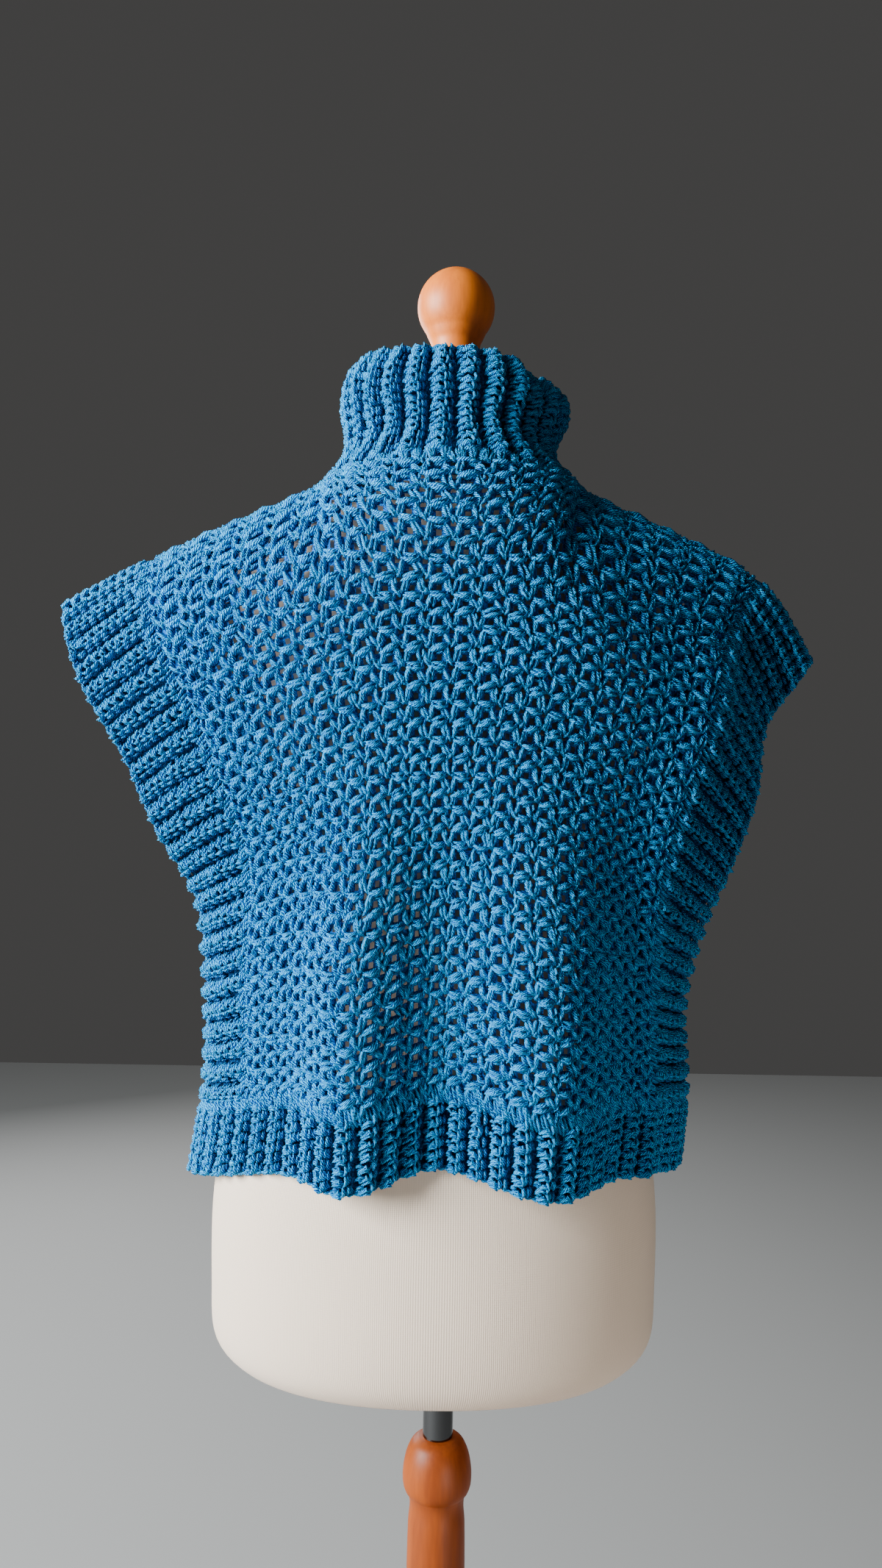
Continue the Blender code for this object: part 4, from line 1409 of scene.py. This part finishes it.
@dataclass
class SideBand:
    """Ribbed band over one shoulder, from the back hem to the front hem."""

    cloth: DrapedCloth
    right: bool
    yarns: Yarns
    ribs: int = 26
    stitches: int = 9
    edge_loops: int = 48
    edge_at: float = 0.985
    edge_reach: float = 0.05
    seam_stitches: int = 64
    seam_reach: float = 0.026
    seam_widening: float = 3.0
    seed: int = 31
    flat: tuple[float, float] = (0.078, 0.88)

    def place(self, share: np.ndarray, length: np.ndarray) -> Placed:
        """Reads the band.

        Args:
            share: across it from its seam.
            length: along it, from -1 at the back hem to 1 at the front hem.

        Returns:
            Points and outward normals.
        """
        q = (1.0 + np.clip(share, 0.0, 1.0)) * (1.0 if self.right else -1.0)
        v = np.clip(np.abs(length), 0.0, 1.0)
        back = self.cloth.at(Side.BACK, v, q)
        front = self.cloth.at(Side.FRONT, v, q)
        behind = (length < 0.0)[..., None]
        return (np.where(behind, back[0], front[0]), np.where(behind, back[1], front[1]))

    def build(self) -> None:
        """Makes the sheet and its ribs."""
        name = f"side_band_{'right' if self.right else 'left'}"
        # A dark sheet behind the ribs: painted shade in their valleys.
        sheet = cloth_grid(f"{name}_sheet", 12, self.ribs * 6,
                           lambda x, y: self.place(x, 2.0 * y - 1.0), self.flat, drop=RIB_DROP)
        piece = finish_object(f"{name}_sheet", sheet, self.yarns.shaded_valley)
        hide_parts(name)
        work = YarnWork(self.seed + int(self.right))
        for side in Side:
            work.ribs(swapped(self.place), self.ribs, self.stitches, side.value)
            work.edge(self.place, self.edge_loops, self.edge_at, self.edge_reach, side.value)
            self.join(work, side)
        stitches = finish_object(f"{name}_stitches", work.mesh(f"{name}_stitches"),
                                 self.yarns.stitch)

    def join(self, work: YarnWork, side: Side) -> None:
        """Lays the stitches over the seam between the band and one panel.

        Args:
            work: takes the stitches.
            side: the panel's side.
        """
        edge = 1.0 if self.right else -1.0

        def place(q: np.ndarray, v: np.ndarray) -> Placed:
            """Reads the cloth on both sides of the seam, wider on the band's.

            Args:
                q: places across the seam.
                v: places along it.

            Returns:
                Points and outward normals.
            """
            beyond = (q - edge) * edge
            wide = edge + edge * np.where(beyond > 0.0, beyond * self.seam_widening, beyond)
            return self.cloth.at(side, np.clip(v, 0.0, 1.0), wide)

        work.seam(place, self.seam_stitches, edge, self.seam_reach * edge)


@dataclass
class HemBand:
    """Ribbed band under one panel and its two side bands."""

    cloth: DrapedCloth
    side: Side
    yarns: Yarns
    ribs: int = 30
    stitches: int = 7
    loops_per_rib: int = 3
    edge_at: float = 0.03
    edge_reach: float = -0.08
    seam_reach: float = 0.016
    samples: int = 200
    seed: int = 41
    flat: tuple[float, float] = (0.52, 0.0565)

    def __post_init__(self) -> None:
        """Finds places across the band that are even along the cloth."""
        self.shares = np.linspace(0.0, 1.0, self.samples + 1)
        self.even = self.cloth.arc_q(self.side, 1.0, -2.0, 2.0, self.samples)

    def on_cloth(self, across: np.ndarray, v: np.ndarray) -> Placed:
        """Reads the cloth at shares across the band and at its own rows."""
        return self.cloth.at(self.side, v, np.interp(np.clip(across, 0.0, 1.0), self.shares,
                                                     self.even))

    def place(self, across: np.ndarray, up: np.ndarray) -> Placed:
        """Reads the band at shares across it and up from its lower edge."""
        return self.on_cloth(across, HEM_ROW - np.clip(up, 0.0, 1.0) * (HEM_ROW - 1.0))

    def beside_seam(self, down: np.ndarray, across: np.ndarray) -> Placed:
        """Reads the cloth above and below the hem seam."""
        return self.on_cloth(across, 1.0 + down)

    def build(self) -> None:
        """Makes the sheet and its ribs."""
        name = f"{self.side.name.lower()}_hem"
        # A dark sheet behind the ribs: painted shade in their valleys.
        sheet = cloth_grid(f"{name}_sheet", self.ribs * 6, 8, self.place, self.flat,
                           drop=RIB_DROP)
        piece = finish_object(f"{name}_sheet", sheet, self.yarns.shaded_valley)
        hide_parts(name)
        work = YarnWork(self.seed + self.side.value)
        loops = self.ribs * self.loops_per_rib
        work.ribs(self.place, self.ribs, self.stitches)
        work.edge(swapped(self.place), loops, self.edge_at, self.edge_reach)
        work.seam(self.beside_seam, loops, 0.0, self.seam_reach)
        stitches = finish_object(f"{name}_stitches", work.mesh(f"{name}_stitches"),
                                 self.yarns.stitch)


@dataclass
class Collar:
    """Tall ribbed collar and the row of stitches that joins it to the panels."""

    surface: CollarSurface
    cloth: DrapedCloth
    yarns: Yarns
    ribs: int = 26
    stitches: int = 13
    loops_per_rib: int = 3
    edge_at: float = 0.98
    edge_reach: float = 0.05
    seam_stitches: int = 26
    seam_height: float = 0.022
    seed: int = 51
    seam_seed: int = 61
    flat: tuple[float, float] = (0.48, 0.108)

    def place(self, turn: np.ndarray, height: np.ndarray) -> Placed:
        """Reads the collar at turns round it and shares of its height."""
        return self.surface.at(turn, np.clip(height, 0.0, 1.0))

    def build(self) -> None:
        """Makes the sheet, its ribs and the seam row."""
        # A dark sheet behind the ribs: painted shade in their valleys.
        sheet = cloth_grid("collar_sheet", self.ribs * 6, 20, self.place, self.flat,
                           drop=RIB_DROP)
        piece = finish_object("collar_sheet", sheet, self.yarns.shaded_valley)
        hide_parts("collar")
        work = YarnWork(self.seed)
        work.ribs(self.place, self.ribs, self.stitches)
        work.edge(swapped(self.place), self.ribs * self.loops_per_rib, self.edge_at,
                  self.edge_reach)
        stitches = finish_object("collar_stitches", work.mesh("collar_stitches"),
                                 self.yarns.stitch)
        self.join()

    def join(self) -> bpy.types.Object:
        """Makes the row of fanned stitches along the neck seam.

        Returns:
            The piece.
        """
        work = YarnWork(self.seam_seed)
        for side in Side:
            edges = self.cloth.arc_q(side, 0.0, -NECK_Q, NECK_Q, self.seam_stitches)
            middles = (edges[1:] + edges[:-1]) / 2.0
            width = float(edges[1] - edges[0])

            def place(q: np.ndarray, v: np.ndarray) -> Placed:
                """Reads this side's panel near its neck seam."""
                return self.cloth.at(side, np.clip(v, 0.0, 1.0), q)

            work.lay(NECK_STITCH, middles, np.full(len(middles), self.seam_height), place,
                     (width, -self.seam_height))
        return finish_object("neck_seam_stitches", work.mesh("neck_seam_stitches"),
                             self.yarns.stitch)


# ---------------------------------------------------------------- form and stand


@dataclass(frozen=True)
class Section:
    """One level of the form's torso."""

    z: float
    half_width: float
    back: float
    front: float
    power: float


TORSO = (
    Section(0.701, 0.146, 0.098, 0.090, 2.2),
    Section(0.707, 0.164, 0.110, 0.101, 2.2),
    Section(0.726, 0.1790, 0.120, 0.111, 2.2),
    Section(0.765, 0.1815, 0.123, 0.114, 2.2),
    Section(0.830, 0.1815, 0.117, 0.110, 2.2),
    Section(0.886, 0.1740, 0.107, 0.104, 2.2),
    Section(0.950, 0.1520, 0.096, 0.097, 2.2),
    Section(1.010, 0.1280, 0.090, 0.093, 2.2),
    Section(1.070, 0.1360, 0.096, 0.111, 2.2),
    Section(1.170, 0.1520, 0.108, 0.133, 2.2),
    Section(1.250, 0.1600, 0.108, 0.125, 2.2),
    Section(1.310, 0.1740, 0.105, 0.104, 2.15),
    Section(1.3505, 0.1800, 0.092, 0.082, 1.7),
    Section(1.3675, 0.1740, 0.079, 0.065, 1.6),
    Section(1.3836, 0.1480, 0.0725, 0.0490, 1.6),
    Section(1.3981, 0.1120, 0.0720, 0.0540, 1.65),
    Section(1.4112, 0.0830, 0.0660, 0.0540, 1.8),
    Section(1.425, 0.0650, 0.056, 0.054, 2.0),
    Section(1.445, 0.0580, 0.055, 0.055, 2.0),
    Section(1.470, 0.0560, 0.055, 0.055, 2.0),
)


@dataclass
class Torso:
    """The form's jersey-covered torso with its neck."""

    material: bpy.types.Material
    sides: int = 96
    levels: int = 120
    hips_x: float = -0.006
    top_x: float = 1.300
    lean: float = 0.350
    girth: float = 0.95

    def place(self, turn: np.ndarray, level: np.ndarray) -> Placed:
        """Reads the torso's skin.

        Args:
            turn: turns round it.
            level: shares of its table of sections, from the bottom.

        Returns:
            Points, and zeros in place of normals.
        """
        read = read_table(TORSO, level * (len(TORSO) - 1))
        angle = turn * TURN
        cosine, sine = np.cos(angle), np.sin(angle)
        power = 2.0 / read["power"]
        depth = np.where(sine > 0, read["front"], read["back"])
        x = read["half_width"] * np.sign(cosine) * np.abs(cosine) ** power
        x = x + self.hips_x * ease(self.top_x - read["z"], 0.0, self.lean)
        y = depth * np.sign(sine) * np.abs(sine) ** power
        points = np.stack((x, y, read["z"]), axis=1)
        return points, np.zeros_like(points)

    def build(self) -> None:
        """Makes the torso and closes its two ends."""
        height = TORSO[-1].z - TORSO[0].z
        mesh = cloth_grid("form_torso_jersey", self.sides, self.levels, self.place,
                          (self.girth / MM, height / MM))
        shape = bmesh.new()
        shape.from_mesh(mesh)
        bmesh.ops.remove_doubles(shape, verts=shape.verts, dist=0.05 * MM)
        bmesh.ops.holes_fill(shape, edges=[e for e in shape.edges if e.is_boundary], sides=0)
        bmesh.ops.recalc_face_normals(shape, faces=shape.faces)
        shape.to_mesh(mesh)
        shape.free()
        mesh.set_sharp_from_angle(angle=math.radians(50.0))
        piece = finish_object("form_torso_jersey", mesh, self.material)
        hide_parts("form_torso")


@dataclass
class TurnedPiece:
    """A wooden or metal piece turned round the stand's axis."""

    name: str
    node: str
    profile: tuple[tuple[float, float], ...]
    material: bpy.types.Material
    slot: Slot
    steps: int = 96

    def build(self) -> None:
        """Spins the profile, given as radius and height from the top down."""
        shape = bmesh.new()
        line = [shape.verts.new((radius, 0.0, z)) for radius, z in self.profile]
        for first, second in zip(line, line[1:]):
            shape.edges.new((first, second))
        bmesh.ops.spin(shape, geom=shape.verts[:] + shape.edges[:], axis=(0.0, 0.0, 1.0),
                       cent=(0.0, 0.0, 0.0), angle=TURN, steps=self.steps, use_merge=True)
        bmesh.ops.remove_doubles(shape, verts=shape.verts, dist=0.01 * MM)
        bmesh.ops.recalc_face_normals(shape, faces=shape.faces)
        mesh = bpy.data.meshes.new(self.name)
        shape.to_mesh(mesh)
        shape.free()
        mesh.shade_smooth()
        mesh.set_sharp_from_angle(angle=math.radians(35.0))
        piece = finish_object(self.name, mesh, self.material)
        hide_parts(self.node)


def arc(centre_r: float, centre_z: float, radius: float, start: float, end: float,
        count: int) -> list[tuple[float, float]]:
    """Profile points on an arc.

    Args:
        centre_r: the centre's distance from the axis.
        centre_z: its height.
        radius: the arc's radius.
        start: first angle, in degrees from outwards towards up.
        end: last angle.
        count: how many points.

    Returns:
        Radius and height of each point.
    """
    turns = np.radians(np.linspace(start, end, count))
    return [(max(0.0, centre_r + radius * math.cos(t)), centre_z + radius * math.sin(t))
            for t in turns]


def smooth_line(points: list[tuple[float, float]], steps: int) -> list[tuple[float, float]]:
    """Smooth profile through points.

    Args:
        points: radius and height of each, from the top down.
        steps: how many pieces each span gets.

    Returns:
        The denser profile.
    """
    table = np.array(points)
    along = travel(table)
    at = np.interp(np.linspace(0, len(table) - 1, steps * (len(table) - 1) + 1),
                   np.arange(len(table)), along)
    return list(zip(*(through(along, table[:, axis], at).tolist() for axis in range(2))))


# Radii of the finial's neck and the depths under the ball's centre where they are.
STEM_NECK = ((0.0228, 0.0252), (0.0207, 0.0297), (0.0199, 0.0345), (0.0196, 0.0420))
# Radii and heights of the column's bead, under its top.
COLUMN_BEAD = ((0.0205, 0.6265), (0.0248, 0.6190), (0.0275, 0.6090), (0.0285, 0.5980),
               (0.0276, 0.5895), (0.0262, 0.5860))


@dataclass
class Stand:
    """Neck cap, finial, pole, column and base."""

    wood: bpy.types.Material
    # The column's wood is a darker copy of the wood: painted shade.
    column_wood: bpy.types.Material
    chrome: bpy.types.Material
    gap: float = 0.0003
    cap_radius: float = 0.053
    cap_height: float = 0.016
    cap_rounding: float = 0.006
    ball_radius: float = 0.0320
    ball_z: float = BUST_Z + 0.3948
    stem_foot: tuple[float, float] = (0.0200, 1.508)
    stem_flare: float = 0.0240
    pole_radius: float = 0.0125
    column_top: float = 0.630
    column_top_radius: float = 0.0155
    column_radius: float = 0.0235
    column_foot: float = 0.0340
    base_radius: float = 0.200
    base_height: float = 0.030
    base_rounding: float = 0.012
    base_chamfer: float = 0.006

    def build(self) -> None:
        """Makes every piece of the stand."""
        cap_bottom = TORSO[-1].z + self.gap
        cap_top = cap_bottom + self.cap_height
        rim = arc(self.cap_radius - self.cap_rounding, cap_top - self.cap_rounding,
                  self.cap_rounding, start=90, end=0, count=8)
        self.turn("neck_cap", [(0.0, cap_top), *rim, (self.cap_radius, cap_bottom),
                               (0.0, cap_bottom)], self.wood)
        stem_bottom = cap_top + self.gap
        ball = arc(0.0, self.ball_z, self.ball_radius, start=90, end=-38, count=30)
        neck = [(radius, self.ball_z - depth) for radius, depth in STEM_NECK]
        stem = smooth_line([ball[-1], *neck, self.stem_foot, (self.stem_flare, stem_bottom)],
                           steps=4)
        self.turn("ball_finial", [*ball, *stem[1:], (0.0, stem_bottom)], self.wood)
        pole_top = TORSO[0].z - self.gap
        pole_bottom = self.column_top + self.gap
        self.turn("pole", [(0.0, pole_top), (self.pole_radius, pole_top),
                           (self.pole_radius, pole_bottom), (0.0, pole_bottom)], self.chrome,
                  Slot.CHROME)
        self.turn("column", self.column_profile(), self.column_wood)
        edge = arc(self.base_radius - self.base_rounding, self.base_height - self.base_rounding,
                   self.base_rounding, start=90, end=0, count=12)
        self.turn("base", [(0.0, self.base_height), *edge, (self.base_radius, self.base_chamfer),
                           (self.base_radius - self.base_chamfer, 0.0), (0.0, 0.0)],
                  self.column_wood)

    def column_profile(self) -> list[tuple[float, float]]:
        """Profile of the turned column, from its top bead to its foot.

        Returns:
            Radius and height of each point.
        """
        plain = self.column_radius
        bead = smooth_line([(self.column_top_radius, self.column_top), *COLUMN_BEAD], steps=4)
        shaft = smooth_line([(0.0240, 0.5835), (0.0228, 0.5790), (plain, 0.5600),
                             (plain + 0.0008, 0.480), (plain + 0.0018, 0.300),
                             (plain + 0.0018, 0.120), (0.0290, 0.100),
                             (self.column_foot, 0.0403)], steps=5)
        bottom = self.base_height + self.gap
        return [(0.0, self.column_top), *bead, *shaft, (self.column_foot, bottom), (0.0, bottom)]

    def turn(self, node: str, profile: list[tuple[float, float]], material: bpy.types.Material,
             slot: Slot = Slot.WOOD) -> None:
        """Makes one turned piece in place of its solid."""
        TurnedPiece(f"{node}_turned", node, tuple(profile), material, slot).build()


# ---------------------------------------------------------------- studio


@dataclass(frozen=True)
class Lamp:
    """A soft square light: power in watts, size in metres, spread of its beam in degrees."""

    name: str
    at: Triple
    towards: Triple
    power: float
    size: float
    color: Triple
    spread: float = 180.0

    def build(self) -> None:
        """Hangs the light in the scene."""
        lamp = bpy.data.lights.new(self.name, "AREA")
        lamp.energy, lamp.size, lamp.color = self.power, self.size, self.color
        lamp.spread = math.radians(self.spread)
        thing = bpy.data.objects.new(self.name, lamp)
        thing.location = self.at
        aim = Vector(self.towards) - Vector(self.at)
        thing.rotation_euler = aim.to_track_quat("-Z", "Y").to_euler()
        bpy.context.scene.collection.objects.link(thing)


LAMPS = (
    Lamp("key", (-2.5, -1.12, 1.90), (0.0, 0.0, 1.15), 345.0, 1.6, (0.90, 0.97, 1.0)),
    Lamp("fill", (0.6, -2.6, 1.4), (0.0, 0.0, 1.1), 1.5, 2.0, (0.98, 0.98, 1.0)),
    Lamp("front", (-1.5, 2.6, 2.0), (0.0, 0.0, 1.1), 75.0, 1.8, (0.94, 0.97, 1.0)),
    Lamp("low", (0.9, -1.6, 0.35), (0.08, -0.1, 0.68), 0.5, 0.6, (1.0, 0.95, 0.90), 30.0),
)


@dataclass
class Studio:
    """Pale floor, soft light from the left and the camera."""

    floor_size: float = 8.0
    floor_drop: float = 0.5 * MM
    floor_color: Colour = (0.33, 0.32, 0.31, 1.0)
    room_color: Colour = (0.60, 0.59, 0.58, 1.0)
    room_strength: float = 0.10
    camera_at: Triple = (-0.0062, -1.015, 1.17)
    camera_roll: float = 0.95
    sensor: float = 36.0
    lens: float = 1664.0 / 2133.0 * 36.0

    def build(self) -> None:
        """Makes the stage, the lights and the camera."""
        self.floor()
        for lamp in LAMPS:
            lamp.build()
        world = bpy.data.worlds.new("soft_room")
        world.use_nodes = True
        background = world.node_tree.nodes["Background"]
        background.inputs["Color"].default_value = self.room_color
        background.inputs["Strength"].default_value = self.room_strength
        bpy.context.scene.world = world
        self.camera()

    def floor(self) -> None:
        """Makes the floor, which isn't part of the object."""
        shape = bmesh.new()
        bmesh.ops.create_grid(shape, x_segments=1, y_segments=1, size=self.floor_size / 2)
        bmesh.ops.translate(shape, verts=shape.verts, vec=(0.0, 0.0, -self.floor_drop))
        mesh = bpy.data.meshes.new("floor")
        shape.to_mesh(mesh)
        shape.free()
        nodes = NodeTree("pale_floor")
        nodes.set(Base_Color=self.floor_color, Roughness=0.9)
        mesh.materials.append(nodes.material)
        floor = bpy.data.objects.new("floor", mesh)
        bpy.context.scene.collection.objects.link(floor)
        floor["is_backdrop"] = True

    def camera(self) -> None:
        """Adds the camera at the photographed angle."""
        data = bpy.data.cameras.new("camera")
        data.sensor_fit = "VERTICAL"
        data.sensor_height = self.sensor
        data.lens = self.lens
        thing = bpy.data.objects.new("camera", data)
        thing.matrix_world = (Matrix.Translation(self.camera_at)
                              @ Matrix.Rotation(math.pi / 2, 4, "X")
                              @ Matrix.Rotation(math.radians(self.camera_roll), 4, "Z"))
        bpy.context.scene.collection.objects.link(thing)
        bpy.context.scene.camera = thing


def main() -> None:
    """Builds the garment, the form, the stand and the studio in order."""
    logging.basicConfig(level=logging.INFO, format="%(message)s")
    # The sheet between ribs is a darker copy of the yarn behind: painted shade in the rib valleys.
    shaded_valley = UnderYarnFinish("yarn_valley_painted_shade", (0.0, 0.014, 0.050, 1.0), (0.0, 0.060, 0.205, 1.0))
    yarns = Yarns(YarnFinish().material(), UnderYarnFinish().material(), shaded_valley.material())
    cloth = DrapedCloth()
    wood = WoodFinish().material()
    # The column and base take a darker copy of the same wood: painted shade.
    column_wood = WoodFinish("wood_of_column_painted_shade", (0.335, 0.062, 0.001, 1.0),
                             (0.210, 0.034, 0.001, 1.0), gloss=0.02)
    pieces = [
        *(Panel(cloth, side, yarns) for side in Side),
        *(SideBand(cloth, right, yarns) for right in (False, True)),
        *(HemBand(cloth, side, yarns) for side in Side),
        Collar(CollarSurface(cloth), cloth, yarns),
        Torso(JerseyFinish().material()),
        Stand(wood, column_wood.material(), ChromeFinish().material()),
        Studio(),
    ]
    for piece in pieces:
        piece.build()
        LOG.info("built %s", type(piece).__name__)
    triangles = sum(sum(len(face.vertices) - 2 for face in thing.data.polygons)
                    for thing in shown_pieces() if thing.type == "MESH")
    LOG.info("triangles shown: %d", triangles)


if __name__ == "__main__":
    main()
